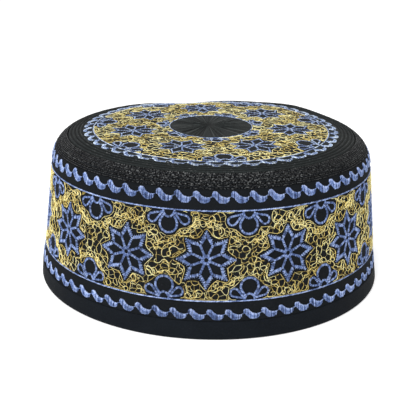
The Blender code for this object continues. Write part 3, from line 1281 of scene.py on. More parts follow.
@dataclass(frozen=True)
class HalfFlower:
    """Half flower on a line: an arch at its foot, one round petal and two side petals."""

    arch_half_width: float = 2.85
    arch_height: float = 3.7
    petal_centre: float = 7.0
    petal_radius: float = 4.3
    side_centre: Pair = (8.15, 4.8)
    side_radius: float = 2.1
    side_root: Pair = (2.9, 1.5)
    width: float = 1.22
    pitch: float = 0.5

    def paths(self) -> list[Array]:
        """Centre lines of the satin bands, the line along x and the petals towards +Y."""
        arch = on_circle(np.linspace(0.0, math.pi, 25)) * [self.arch_half_width, self.arch_height]
        petal = self.petal_radius * on_circle(np.radians(np.linspace(-42.0, 222.0, 41)))
        petal[:, 1] += self.petal_centre
        foot = np.array([[self.arch_half_width * 0.82, self.arch_height * 0.72]])
        petal = np.concatenate([foot, petal, foot * [-1.0, 1.0]])
        root, centre = np.array(self.side_root), np.array(self.side_centre)
        axis = centre - root
        away = math.acos(self.side_radius / np.linalg.norm(axis))
        heading = math.atan2(-axis[1], -axis[0])
        turn = np.linspace(heading + away, heading + math.tau - away, 29)
        round_end = centre + self.side_radius * on_circle(turn)
        side = np.concatenate([[root], round_end, [root]])
        return [side, side * [-1.0, 1.0], petal, arch]

    def stitches(self, rng: Random) -> Stitches:
        """All bands of the flower."""
        shares = (0.9, 0.9, 1.0, 0.9)
        return Stitches.join([
            satin_band(path, self.width * share, self.pitch, rng) for path, share in zip(self.paths(), shares)
        ])

    def clearance(self, points: Array) -> Array:
        """Distance of plan points outside the flower, negative within."""
        x, y = np.abs(points[..., 0]), points[..., 1]
        half = self.width / 2
        petal = np.hypot(x, y - self.petal_centre) - self.petal_radius - half
        root, centre = np.array(self.side_root), np.array(self.side_centre)
        axis = centre - root
        share = np.clip(((x - root[0]) * axis[0] + (y - root[1]) * axis[1]) / (axis @ axis), 0.0, 1.0)
        off = np.hypot(x - root[0] - share * axis[0], y - root[1] - share * axis[1])
        arch = (np.hypot(x / self.arch_half_width, y / self.arch_height) - 1.0) * self.arch_half_width - half
        return np.minimum.reduce([petal, arch, off - half - self.side_radius * (0.35 + 0.65 * share)])


@dataclass(frozen=True)
class WaveBorder:
    """A running wave of satin stitches: each unit a raised blunt head that falls into a full bowl.

    The charts give a unit's upper and lower edge from the link line, at shares of its length
    from the head's left side. A thin link joins each bowl to the next head.
    """

    unit_length: float
    scale: float = 1.0
    per_unit: int = 24
    # Tone from the bowl's edge up to the head's: the higher end tone is a painted highlight on the heads.
    tones: Pair = (0.58, 1.0)
    upper: Chart = (
        (0.00, 0.80), (0.02, 1.75), (0.045, 2.25), (0.09, 2.50), (0.16, 2.55), (0.24, 2.50), (0.29, 2.20),
        (0.35, 1.60), (0.44, 0.75), (0.57, 0.10), (0.74, -0.22), (0.88, -0.10), (0.925, 0.0), (1.00, 0.20),
    )
    lower: Chart = (
        (0.00, 0.05), (0.05, 0.0), (0.13, -0.50), (0.20, -1.20), (0.30, -2.20), (0.40, -2.90),
        (0.50, -3.10), (0.62, -3.12), (0.74, -2.90), (0.84, -2.40), (0.895, -1.75), (0.92, -0.85),
        (0.94, -0.20), (1.00, -0.10),
    )

    def stitches(self, units: int, middle: float, phase: float, rng: Random) -> Stitches:
        """The border along x.

        Args:
            units: how many units.
            middle: height of its middle line.
            phase: place of the first head's left side.
            rng: source of small irregularities.

        Returns:
            The stitches, from the bowls' edge up to the heads'.
        """
        share = (np.arange(self.per_unit) + 0.5) / self.per_unit
        place = (np.arange(units)[:, None] + share[None]) * self.unit_length + phase
        place = place + rng.uniform(-0.05, 0.05, place.shape)
        charts = (self.upper, self.lower)
        upper, lower = (np.interp(share, *np.array(chart).T) * self.scale for chart in charts)
        top = middle + upper + rng.uniform(-0.12, 0.12, place.shape)
        bottom = middle + lower + rng.uniform(-0.12, 0.12, place.shape)
        start = np.stack([place, bottom], -1).reshape(-1, 2)
        end = np.stack([place, top], -1).reshape(-1, 2)
        width = self.unit_length / self.per_unit * 1.12
        return Stitches.of(start, end, width, 0.42, sharp=0.95, shade=self.tones)


# Gold ground


def ahead(place: Array, heading: Array, reach: float) -> Array:
    """Plan points moved along their headings."""
    return place + reach * on_circle(heading)


@dataclass(frozen=True)
class GoldGround:
    """Vermicelli between the motifs: an uneven net of fine gold thread, and loose curls that cross it.

    Places are scattered over one repeat of the pattern and carried round to the others. The net
    follows the walls of the cells round them. A curl starts at each of them, bends one way and
    then the other, and turns back where the gold ends.
    """

    clearance: Measure
    spacing: Measure
    scatter: Callable[[int, Random], Array]
    repeated: Callable[[Array, int], Array]
    repeats: range
    window: Measure
    tries: int = 16000
    overshoot: float = 2.2
    stray: float = 0.32
    waver: float = 0.3
    length: float = 13.0
    step: float = 0.55
    bends: Pair = (0.25, 1.05)
    arcs: Pair = (1.5, 4.5)
    sight: float = 1.1
    glance: float = 0.7
    turn_back: float = 1.3
    longest_wall: float = 5.0
    longest_run: int = 60
    curl: float = 0.8
    straight_step: float = 0.9

    def scattered(self, rng: Random) -> Array:
        """Places all round that keep their spacing, also a little way into the motifs."""
        places = self.scatter(self.tries, rng)
        places = places[self.clearance(places) > -self.overshoot]
        around = np.stack([self.repeated(places, k) for k in (-1, 0, 1)])
        room = self.spacing(places) ** 2
        kept = np.full(around.shape, 1e6)
        chosen = []
        for index, size in enumerate(room):
            gap = kept[:, : len(chosen)] - places[index]
            if not chosen or (gap * gap).sum(-1).min() > size:
                kept[:, len(chosen)] = around[:, index]
                chosen.append(index)
        whole = np.concatenate([self.repeated(places[chosen], k) for k in self.repeats])
        return whole + rng.normal(0.0, self.stray, whole.shape)

    def kept_in(self, place: Array) -> Array:
        """Plan points pushed back on to the ground."""
        room = self.clearance(place)
        slope = np.stack([self.clearance(place + way) - room for way in np.eye(2) * 0.05], -1)
        return place + np.maximum(-room, 0.0)[:, None] * unit(slope)

    def curls(self, rng: Random) -> list[Array]:
        """Curling runs of thread, one from each place, cut short where one strays on to a motif."""
        place = self.scattered(rng)
        place = place[(self.clearance(place) > 0.0) & self.window(place)]
        count = len(place)
        heading = rng.uniform(0.0, math.tau, count)
        side = rng.choice([-1.0, 1.0], count)
        bend, left = rng.uniform(*self.bends, count), rng.uniform(*self.arcs, count)
        path = [place]
        for _ in range(int(self.length / self.step)):
            near = self.clearance(ahead(place, heading, self.sight)) < 0.0
            turns = (self.glance, -self.glance)
            rooms = [self.clearance(ahead(place, heading + turn, self.sight)) for turn in turns]
            side = np.where(near, np.sign(rooms[0] - rooms[1] + 1e-9), side)
            heading = heading + side * np.where(near, self.turn_back, bend) * self.step
            place = self.kept_in(ahead(place, heading, self.step))
            path.append(place)
            left = left - self.step
            over = left <= 0.0
            side = np.where(over & (rng.random(count) < 0.8), -side, side)
            bend = np.where(over, rng.uniform(*self.bends, count), bend)
            left = np.where(over, rng.uniform(*self.arcs, count), left)
        paths = np.stack(path, 1)
        inside = self.clearance(paths) > -0.1
        sizes = np.where(inside.all(1), paths.shape[1], inside.argmin(1))
        return [run[:size] for run, size in zip(paths, sizes) if size > 3]

    def net(self, rng: Random) -> tuple[Array, Array]:
        """Walls of the cells, cut where the gold ends and closed by a rim.

        Args:
            rng: source of the scatter.

        Returns:
            Nodes as plan points, and walls as pairs of nodes.
        """
        seeds = self.scattered(rng)
        found = delaunay_2d_cdt([Vector(seed) for seed in seeds.tolist()], [], [], 0, 1e-6)
        corners = np.array([tuple(point) for point in found[0]])
        faces = np.array([tuple(face) for face in found[2]])
        first = corners[faces[:, 0]]
        a, b = corners[faces[:, 1]] - first, corners[faces[:, 2]] - first
        twice = 2.0 * (a[:, 0] * b[:, 1] - a[:, 1] * b[:, 0])
        a_size, b_size = (a * a).sum(1), (b * b).sum(1)
        centre = np.stack([b[:, 1] * a_size - a[:, 1] * b_size, a[:, 0] * b_size - b[:, 0] * a_size], 1)
        nodes = first + np.clip(centre / twice[:, None], -6.0, 6.0)
        nodes = nodes + rng.normal(0.0, self.waver, nodes.shape)
        sides = np.sort(np.concatenate([faces[:, [0, 1]], faces[:, [1, 2]], faces[:, [2, 0]]]), axis=1)
        owner = np.tile(np.arange(len(faces)), 3)
        order = np.lexsort((sides[:, 1], sides[:, 0]))
        sides, owner = sides[order], owner[order]
        same = (sides[1:] == sides[:-1]).all(1)
        walls = np.stack([owner[:-1][same], owner[1:][same]], 1)
        return self.trimmed(nodes, walls, sides[1:][same])

    def trimmed(self, nodes: Array, walls: Array, cells: Array) -> tuple[Array, Array]:
        """Cut walls at the edge of the gold and join the cut ends of each cell.

        Args:
            nodes: plan points.
            walls: pairs of nodes.
            cells: the two cells on either side of each wall.

        Returns:
            Nodes and walls that are left.
        """
        clear = self.clearance(nodes) > 0.0
        both = clear[walls].all(1)
        cut = clear[walls].sum(1) == 1
        inner = np.where(clear[walls[:, 0]], walls[:, 0], walls[:, 1])[cut]
        outer = np.where(clear[walls[:, 0]], walls[:, 1], walls[:, 0])[cut]
        low, high = nodes[inner], nodes[outer]
        for _ in range(10):
            middle = (low + high) / 2
            good = (self.clearance(middle) > 0.0)[:, None]
            low, high = np.where(good, middle, low), np.where(good, high, middle)
        ends = len(nodes) + np.arange(len(low))
        cell = cells[cut].T.ravel()
        order = np.argsort(cell, kind="stable")
        _, start, count = np.unique(cell[order], return_index=True, return_counts=True)
        start = start[count == 2]
        rim_ends = np.tile(ends, 2)[order]
        rim = np.stack([rim_ends[start], rim_ends[start + 1]], 1)
        nodes = np.concatenate([nodes, low])
        walls = np.concatenate([walls[both], np.stack([inner, ends], 1), rim])
        length = np.linalg.norm(nodes[walls[:, 0]] - nodes[walls[:, 1]], axis=1)
        return nodes, walls[self.window(nodes[walls].mean(1)) & (length < self.longest_wall)]

    def net_runs(self, rng: Random) -> list[Array]:
        """Long runs of thread that together cover every wall once, with rounded corners."""
        nodes, walls = self.net(rng)
        links: dict[int, list[tuple[int, int]]] = {}
        for index, (a, b) in enumerate(walls.tolist()):
            links.setdefault(a, []).append((index, b))
            links.setdefault(b, []).append((index, a))
        used = bytearray(len(walls))
        places = nodes.tolist()
        runs = []
        for index in rng.permutation(len(walls)).tolist():
            if used[index]:
                continue
            used[index] = 1
            path = walls[index].tolist()
            for _ in range(2):
                self.follow(path, places, links, used, rng)
                path.reverse()
            runs.append(self.rounded(nodes[path]))
        return runs

    def follow(self, path: list[int], places: list, links: dict, used: bytearray, rng: Random) -> None:
        """Lengthen a path from its end along unused walls, curling one way and then the other.

        Args:
            path: the path's nodes, which this adds to.
            places: where the nodes are.
            links: the walls at each node, with the node at their other end.
            used: marks of the walls that a thread follows already, which this adds to.
            rng: source of the curl's changes.
        """
        curl = self.curl if rng.random() < 0.5 else -self.curl
        while len(path) < self.longest_run:
            (x0, y0), (x1, y1) = places[path[-2]], places[path[-1]]
            heading = math.atan2(y1 - y0, x1 - x0)
            best, chosen = 9.0, None
            for index, other in links[path[-1]]:
                if used[index]:
                    continue
                turn = math.atan2(places[other][1] - y1, places[other][0] - x1) - heading
                turn = abs((turn + math.pi) % math.tau - math.pi - curl)
                if turn < best:
                    best, chosen = turn, (index, other)
            if chosen is None:
                return
            used[chosen[0]] = 1
            path.append(chosen[1])
            if rng.random() < 0.2:
                curl = -curl

    def rounded(self, path: Array) -> Array:
        """Round a path's corners, with a point halfway along its longer steps."""
        if len(path) < 3:
            return path
        halfway = (path[1:] + path[:-1]) / 2
        corners = path[1:-1] * 0.5 + (halfway[1:] + halfway[:-1]) * 0.25
        points = np.empty((len(path) * 2 - 1, 2))
        points[0], points[-1] = path[0], path[-1]
        points[1::2] = halfway
        points[2:-1:2] = corners
        keep = np.ones(len(points), bool)
        keep[1::2] = np.linalg.norm(np.diff(path, axis=0), axis=1) > self.straight_step
        return points[keep]


# Embroidery


@dataclass
class SideEmbroidery:
    """Everything sewn on the side: stars, half flowers, lines, waves and gold."""

    plan: SidePlan
    units: int = 14
    star_azimuth_deg: float = -1.0
    star_height: float = 40.2
    upper_line: float = 63.7
    lower_line: float = 19.6
    line_width: float = 0.62
    wave_heights: Pair = (70.3, 13.2)
    wave_scales: Pair = (1.0, 0.95)
    wave_counts: tuple[int, int] = (61, 66)
    wave_starts_deg: Pair = (-5.38, -5.95)
    star_shifts: dict[int, Pair] = field(
        default_factory=lambda: {
            0: (0.2, -0.2), 1: (0.0, 0.9), 2: (0.0, -0.2), 12: (0.0, 0.5), 13: (0.7, -0.3),
        }
    )
    upper_shifts: dict[int, float] = field(
        default_factory=lambda: {0: 0.25, 1: 0.15, 2: -0.5, 11: 1.5, 12: 0.95, 13: 1.8}
    )
    lower_shifts: dict[int, float] = field(
        default_factory=lambda: {0: 0.75, 1: 1.25, 2: -1.0, 11: 0.8, 12: -0.85, 13: 0.65}
    )
    gold_size: Pair = (0.22, 0.2)
    star_room: float = 1.2
    upper_rooms: Pair = (1.15, 0.5)
    lower_rooms: Pair = (0.6, 0.6)
    garland_heights: Pair = (53.0, 28.4)
    garland_halves: Pair = (1.9, 1.4)
    garland_swing: float = 4.6
    spacings: Pair = (2.65, 2.95)
    garland_spacing: float = 1.95
    slot: str = "wall_cloth"

    @property
    def step(self) -> float:
        """Length of one unit on the plan."""
        return self.plan.length / self.units

    @property
    def star_x(self) -> float:
        """Place of the front star on the plan."""
        return math.radians(self.star_azimuth_deg) * self.plan.mean_radius

    @property
    def flowers(self) -> tuple[HalfFlower, HalfFlower]:
        """The upper and the lower half flower."""
        lower = HalfFlower(
            arch_half_width=2.5, arch_height=3.4, side_centre=(7.2, 4.2), side_radius=2.0,
            side_root=(2.7, 1.3),
        )
        return HalfFlower(), lower

    def ring(self, height: float) -> Array:
        """A path once round the side at a height, its ends overlapping."""
        x = np.linspace(0.0, self.plan.length + 2.2, 721)
        return np.stack([x, np.full_like(x, height)], 1)

    def star_centre(self, index: int) -> Array:
        """Where a star sits: on its unit, give or take the sewing's own unevenness."""
        x, y = self.star_shifts.get(index % self.units, (0.0, 0.0))
        return np.array([self.star_x + index * self.step + x, self.star_height + y])

    def flower_x(self, index: int, shifts: dict[int, float]) -> float:
        """Where a flower sits along its line."""
        return self.star_x + (index + 0.5) * self.step + shifts.get(index % self.units, 0.0)

    def from_nearest(self, x: Array, places: Array, whole: Array) -> Array:
        """Offset along x from the nearest motif of a row.

        Args:
            x: places along x.
            places: where the row's motifs sit, by index.
            whole: each place's nearest index, as if the row were even.

        Returns:
            The offsets.
        """
        even = whole * self.step
        return x - even - (places - np.arange(self.units) * self.step)[whole % self.units]

    def clearance(self, points: Array) -> Array:
        """Distance to the nearest edge of the ground that the gold may fill."""
        upper, lower = self.flowers
        x, height = points[..., 0], points[..., 1]
        units = range(self.units)
        share = (x - self.star_x) / self.step
        star, axis = np.floor(share + 0.5).astype(int), np.floor(share).astype(int)
        centres = np.array([self.star_centre(k) for k in units])
        from_star = np.stack(
            [self.from_nearest(x, centres[:, 0], star), height - centres[star % self.units, 1]], -1
        )
        above, below = (
            self.from_nearest(x, np.array([self.flower_x(k, shifts) for k in units]), axis)
            for shifts in (self.upper_shifts, self.lower_shifts)
        )
        bare = (np.hypot((from_star[..., 0] - 0.8) / 3.6, (height - 62.9) / 1.2) - 1.0) * 1.2
        parting = np.maximum(np.abs(above) - 7.5, np.abs(height - 39.5) - 0.3)
        return np.minimum.reduce([
            StarMotif().clearance(from_star) - self.star_room,
            upper.clearance(np.stack([above, self.upper_line - height], -1)) - self.upper_rooms[0],
            lower.clearance(np.stack([below, height - self.lower_line], -1)) - self.lower_rooms[0],
            self.upper_line - height - self.upper_rooms[1],
            height - self.lower_line - self.lower_rooms[1],
            bare,
            parting,
        ])

    def garland_distance(self, points: Array) -> Array:
        """Distance to the nearest dense garland, in shares of its half thickness."""
        x, height = self.from_star_axis(points), points[..., 1]
        turn = np.cos(x / self.step * math.tau)
        upper = np.abs(height - self.garland_heights[0] - self.garland_swing * turn) / self.garland_halves[0]
        lower = np.abs(height - self.garland_heights[1] + self.garland_swing * turn) / self.garland_halves[1]
        arm = np.abs(height - 56.5 - 0.72 * np.abs(x)) / 1.5 + (np.abs(x) > 10.5)
        return np.minimum.reduce([upper, lower, arm])

    def from_star_axis(self, points: Array) -> Array:
        """Offset along x from the nearest star's axis in an even row."""
        return (points[..., 0] - self.star_x + self.step / 2) % self.step - self.step / 2

    def spacing(self, points: Array) -> Array:
        """Spacing of the runs: small along the garlands and under the star, wide elsewhere."""
        near = self.garland_distance(points)
        nest = np.hypot(self.from_star_axis(points) / 9.5, (points[..., 1] - 23.0) / 4.5)
        wide = np.where(points[..., 1] > self.star_height, *self.spacings)
        wide = wide - 0.75 * np.exp(-(nest**2))
        return wide - (wide - self.garland_spacing) * np.exp(-(near**2) * 0.7)

    def ground(self, clearance: Measure, spacing: Measure) -> GoldGround:
        """Gold in one region of the side."""
        half = self.plan.length / 2

        def scatter(count: int, rng: Random) -> Array:
            """Places over one unit."""
            corner = np.array([self.star_x, self.lower_line - 1.0])
            size = [self.step, self.upper_line - self.lower_line + 2.0]
            return corner + rng.uniform(0.0, 1.0, (count, 2)) * size

        return GoldGround(
            clearance, spacing, scatter,
            repeated=lambda points, k: points + np.array([k * self.step, 0.0]),
            repeats=range(-8, 8),
            window=lambda points: (points[:, 0] >= -half) & (points[:, 0] < half),
        )

    def build(self, rng: Random) -> None:
        """Make every piece of the side's embroidery."""
        stars, flowers = ThreadMesh(self.plan, rng), ThreadMesh(self.plan, rng)
        upper, lower = self.flowers
        for k in range(self.units):
            stars.lay_stitches(StarMotif().stitches(rng).placed(self.star_centre(k)))
            from_top = np.array([self.flower_x(k, self.upper_shifts), self.upper_line])
            from_foot = np.array([self.flower_x(k, self.lower_shifts), self.lower_line])
            hanging = upper.stitches(rng).placed(from_top, 180.0)
            rising = lower.stitches(rng).placed(from_foot)
            flowers.lay_stitches(Stitches.join([hanging, rising]))
        stars.piece("side_stars", BLUE_THREAD, self.slot)
        flowers.piece("side_half_flowers", BLUE_THREAD, self.slot)
        self.build_borders(rng)
        self.build_gold(rng)

    def build_borders(self, rng: Random) -> None:
        """The two thin lines and the two wave borders."""
        lines, waves = ThreadMesh(self.plan, rng), ThreadMesh(self.plan, rng)
        for height in (self.upper_line, self.lower_line):
            lines.lay_stitches(stem_line(self.ring(height), rng, self.line_width))
        borders = zip(self.wave_heights, self.wave_scales, self.wave_counts, self.wave_starts_deg)
        for middle, scale, count, start in borders:
            phase = math.radians(start) * self.plan.mean_radius
            border = WaveBorder(self.plan.length / count, scale).stitches(count, middle, phase, rng)
            # The dip paints shade halfway along each stitch, between its lighter ends.
            waves.lay_stitches(border, blunt=0.05, middle=True, dip=0.5, uneven=0.5)
        lines.piece("side_lines", BLUE_THREAD, self.slot)
        waves.piece("side_waves", BLUE_THREAD, self.slot)

    def build_gold(self, rng: Random) -> None:
        """The gold net with its curls, and brighter curls over the garlands."""
        ground, garlands = ThreadMesh(self.plan, rng), ThreadMesh(self.plan, rng)
        net = self.ground(self.clearance, self.spacing).net_runs(rng)
        ground.lay_runs(net, self.gold_size, (0.0, 0.12), tones=(0.25, 1.25))
        loose = self.ground(self.clearance, lambda points: self.spacing(points) * 2.0)
        ground.lay_runs(loose.curls(rng), self.gold_size, (0.12, 0.28), tones=(0.5, 1.4))
        ground.piece("side_gold_ground", GOLD_THREAD, self.slot)
        thick = self.ground(
            lambda points: np.minimum(self.clearance(points) - 0.2, 0.9 - self.garland_distance(points)),
            lambda points: np.full(points.shape[0], 3.2),
        )
        garlands.lay_runs(thick.curls(rng), self.gold_size, (0.2, 0.36), tones=(0.45, 1.35))
        garlands.piece("side_gold_garlands", GOLD_THREAD, self.slot)


@dataclass
class CrownEmbroidery:
    """Everything sewn on the crown: stars, half flowers, lines, wave border and gold."""

    plan: CrownPlan
    units: int = 7
    star_azimuth_deg: float = -70.5
    star_ring: float = 43.5
    star: StarMotif = StarMotif(
        kite_end=12.6, rib_end=8.0, rib_width=0.95, ring_out=2.0, ring_in=0.9, edge_pitch=0.55, pitch=0.5,
        teeth=(0.1, 0.4),
    )
    flower: HalfFlower = HalfFlower(width=0.98, pitch=0.46)
    star_scale: float = 0.93
    outer_line: float = 64.4
    inner_line: float = 22.5
    inner_scale: float = 0.66
    line_widths: Pair = (0.6, 0.4)
    star_shifts: Chart = (
        (-0.4, 1.2), (-0.15, 0.4), (-0.5, 0.4), (0.0, 0.5), (-0.8, 0.8), (-0.6, -0.3), (0.15, 0.6),
    )
    wave_middle: float = 67.2
    wave_scale: float = 0.85
    wave_count: int = 47
    wave_start_deg: float = -2.0
    wave_upper: Chart = (
        (0.00, 0.40), (0.03, 1.35), (0.06, 2.05), (0.10, 2.40), (0.16, 2.52), (0.22, 2.20), (0.28, 1.40),
        (0.34, 0.45), (0.42, -0.30), (0.52, -0.65), (0.70, -0.75), (0.85, -0.55), (0.925, -0.1), (1.00, 0.20),
    )
    gold_size: Pair = (0.44, 0.12)
    star_room: float = 0.85
    outer_rooms: Pair = (0.8, 0.5)
    inner_rooms: Pair = (0.5, 0.4)
    slot: str = "crown_cloth"

    def circle(self, radius: float) -> Array:
        """A path once round at a radius, its ends overlapping."""
        angle = np.linspace(0.0, math.tau + 2.2 / radius, 361)
        return radius * from_front(angle)

    def clearance(self, points: Array) -> Array:
        """Distance to the nearest edge of the ground that the gold may fill."""
        radius, azimuth = polar(points)
        azimuth = np.degrees(azimuth) - self.star_azimuth_deg
        step = 360.0 / self.units
        nearest = np.floor(azimuth / step + 0.5).astype(int)
        own = points - np.array(self.star_shifts)[nearest % self.units]
        away, to_star = polar(own)
        to_star = to_star - np.radians(self.star_azimuth_deg + nearest * step)
        to_axis = np.radians(azimuth % step - step / 2)
        star = np.stack([away * np.sin(to_star), away * np.cos(to_star) - self.star_ring], -1)
        across, out = radius * np.sin(to_axis), radius * np.cos(to_axis)
        outer = np.stack([across, self.outer_line - out], -1)
        inner = np.stack([across, out - self.inner_line], -1) / self.inner_scale
        return np.minimum.reduce([
            self.star.clearance(star / self.star_scale) * self.star_scale - self.star_room,
            self.flower.clearance(outer) - self.outer_rooms[0],
            self.flower.clearance(inner) * self.inner_scale - self.inner_rooms[0],
            self.outer_line - radius - self.outer_rooms[1],
            radius - self.inner_line - self.inner_rooms[1],
        ])

    def spacing(self, points: Array) -> Array:
        """Spacing of the runs, a little uneven all over."""
        x, y = points[..., 0], points[..., 1]
        return 2.75 + 0.4 * np.sin(x * 0.43 + 1.3 * np.sin(y * 0.31)) * np.cos(y * 0.39 + x * 0.21)

    def ground(self, spacing: Measure) -> GoldGround:
        """Gold over the whole ring."""

        def scatter(count: int, rng: Random) -> Array:
            """Places over one unit."""
            low, high = self.inner_line - 1.0, self.outer_line + 1.0
            radius = np.sqrt(rng.uniform(low**2, high**2, count))
            azimuth = np.radians(self.star_azimuth_deg + rng.uniform(0.0, 360.0 / self.units, count))
            return radius[:, None] * from_front(azimuth)

        return GoldGround(
            self.clearance, spacing, scatter,
            repeated=lambda points, k: turned(points, k * 360.0 / self.units),
            repeats=range(self.units),
            window=lambda points: np.ones(len(points), bool),
        )

    def build(self, rng: Random) -> None:
        """Make every piece of the crown's embroidery."""
        stars, flowers = ThreadMesh(self.plan, rng), ThreadMesh(self.plan, rng)
        for k in range(self.units):
            azimuth = math.radians(self.star_azimuth_deg + k * 360.0 / self.units)
            centre = self.star_ring * from_front(azimuth) + self.star_shifts[k]
            star = self.star.stitches(rng).placed(centre, math.degrees(azimuth) + 180.0, self.star_scale)
            stars.lay_stitches(star, height=0.5)
            half = azimuth + math.pi / self.units
            heading, turn = from_front(half), math.degrees(half)
            outer = self.flower.stitches(rng).placed(heading * self.outer_line, turn)
            inner = replace(self.flower, pitch=0.6).stitches(rng)
            inner = inner.placed(heading * self.inner_line, turn + 180.0, self.inner_scale)
            flowers.lay_stitches(Stitches.join([outer, inner]), height=0.5)
        stars.piece("crown_stars", CROWN_BLUE_THREAD, self.slot)
        flowers.piece("crown_half_flowers", CROWN_BLUE_THREAD, self.slot)
        self.build_borders(rng)
        self.build_gold(rng)

    def build_borders(self, rng: Random) -> None:
        """The two thin lines and the wave border."""
        lines, waves = ThreadMesh(self.plan, rng), ThreadMesh(self.plan, rng)
        for radius, width in zip((self.outer_line, self.inner_line), self.line_widths):
            lines.lay_stitches(stem_line(self.circle(radius), rng, width), height=0.6)
        length = math.tau * self.wave_middle / self.wave_count
        phase = math.radians(self.wave_start_deg) * self.wave_middle
        # The crown wave's high tones paint the sheen of its satin at a grazing angle.
        border = WaveBorder(length, self.wave_scale, tones=(0.95, 0.75), upper=self.wave_upper)
        run = border.stitches(self.wave_count, 0.0, phase, rng)
        outwards = run.moved(lambda points: points * [1.0, -1.0] + [0.0, self.wave_middle])
        carried = outwards.moved(lambda points: bent(points, self.wave_middle))
        waves.lay_stitches(carried, blunt=0.07, middle=True, dip=0.45, height=0.6)
        lines.piece("crown_lines", CROWN_BLUE_THREAD, self.slot)
        waves.piece("crown_wave", CROWN_BLUE_THREAD, self.slot)

    def build_gold(self, rng: Random) -> None:
        """The gold net, and curls over it."""
        net, over = ThreadMesh(self.plan, rng), ThreadMesh(self.plan, rng)
        runs = self.ground(self.spacing).net_runs(rng)
        net.lay_runs(runs, self.gold_size, (0.0, 0.05), tones=(0.4, 1.45))
        net.piece("crown_gold_ground", GOLD_THREAD, self.slot)
        loose = self.ground(lambda points: self.spacing(points) * 1.95)
        over.lay_runs(loose.curls(rng), self.gold_size, (0.06, 0.12), tones=(0.5, 1.5))
        over.piece("crown_gold_curls", GOLD_THREAD, self.slot)


@dataclass
class QuiltingRows:
    """Black machine stitching: rings on the crown's margin, rows and tacks over the shoulder, and one row
    with painted highlights in patches.
    """

    side: SidePlan
    crown: CrownPlan
    margin_rows: tuple[float, ...] = (72.1, 74.0, 76.0, 78.0)
    shoulder_rows: tuple[float, ...] = (0.8, 1.7, 2.6, 3.5, 4.3, 5.1, 6.8, 7.7, 8.7)
    highlight_row: float = 5.9
    highlight_patches_deg: Chart = ((-14.0, 5.0), (20.0, 13.0), (-58.0, 9.0), (72.0, 12.0))
    thread_size: Pair = (0.44, 0.26)
    calm_from_deg: float = 12.0
    calm_ease_deg: float = 38.0

    def row(
        self, length: float, level: float, stitch: float, skip: float, wander: float, rng: Random,
    ) -> Stitches:
        """A row of running stitches along x.

        Args:
            length: the row's length.
            level: its place along y.
            stitch: length of a stitch.
            skip: gap between stitches.
            wander: how far the ends stray from the row.
            rng: source of the straying.

        Returns:
            The row.
        """
        count = int(length / (stitch + skip))
        stray = min(wander, 0.4)
        start = (np.arange(count) + rng.random() + rng.uniform(-stray, stray, count)) * length / count
        size = stitch * rng.uniform(1.0 - stray, 1.0 + stray, count)
        ends = level + rng.uniform(-wander, wander, (2, count))
        first, last = np.stack([start, ends[0]], 1), np.stack([start + size, ends[1]], 1)
        return Stitches.of(first, last, *self.thread_size, shade=(0.3, 0.3))

    def build(self, rng: Random) -> None:
        """Make both pieces."""
        form = self.crown.form
        margin = ThreadMesh(CrownPlan(form, centre=(0.0, 0.0), drifts=()), rng)
        shoulder = ThreadMesh(self.side, rng)
        for radius in self.margin_rows:
            row = self.row(math.tau * radius, radius, 1.6, 0.35, 0.08, rng)
            row = replace(row, shade=row.shade + rng.uniform(-0.2, 0.5, (len(row.start), 1)))
            margin.lay_stitches(row.moved(lambda points: bent(points, radius)))

        def carried(points: Array) -> Array:
            """Turn distances below the seam into heights."""
            return np.stack([points[:, 0], form.side_height(points[:, 1])], 1)

        for below in self.shoulder_rows:
            row = self.row(self.side.length, below, 1.0, 0.2, 0.42, rng)
            turn = np.abs(self.side.azimuth_deg(row.start[:, :1]))
            far = smooth((turn - self.calm_from_deg) / self.calm_ease_deg)
            calm, level = np.concatenate([0.0 * far, 0.85 * far], 1), np.array([0.0, below])
            tone = rng.uniform(-0.4, 0.7, (len(row.start), 1))
            shaded = 0.12 * float(smooth((below - 5.5) / 2.5))
            row = replace(
                row, start=row.start + (level - row.start) * calm, end=row.end + (level - row.end) * calm,
                shade=row.shade + tone * (1.0 - 0.9 * far) - 0.1 * far - shaded,
            )
            shoulder.lay_stitches(row.moved(carried))
        # A row whose stitches carry painted highlights in patches round the front.
        row = self.row(self.side.length, self.highlight_row, 1.0, 0.5, 0.3, rng)
        azimuth = self.side.azimuth_deg(row.start[:, 0])
        highlight_patch = sum(np.exp(-(((azimuth - middle) / half) ** 2)) for middle, half in self.highlight_patches_deg)
        shoulder.lay_stitches(replace(row, shade=row.shade + 0.7 * highlight_patch[:, None]).moved(carried))
        margin.piece("crown_quilting", BLACK_THREAD, "crown_cloth")
        shoulder.piece("shoulder_quilting", BLACK_THREAD, "wall_cloth")


# Studio


@dataclass(frozen=True)
class Softbox:
    """A square soft light, in metres and watts."""

    name: str
    place: Triple
    size: float
    power: float


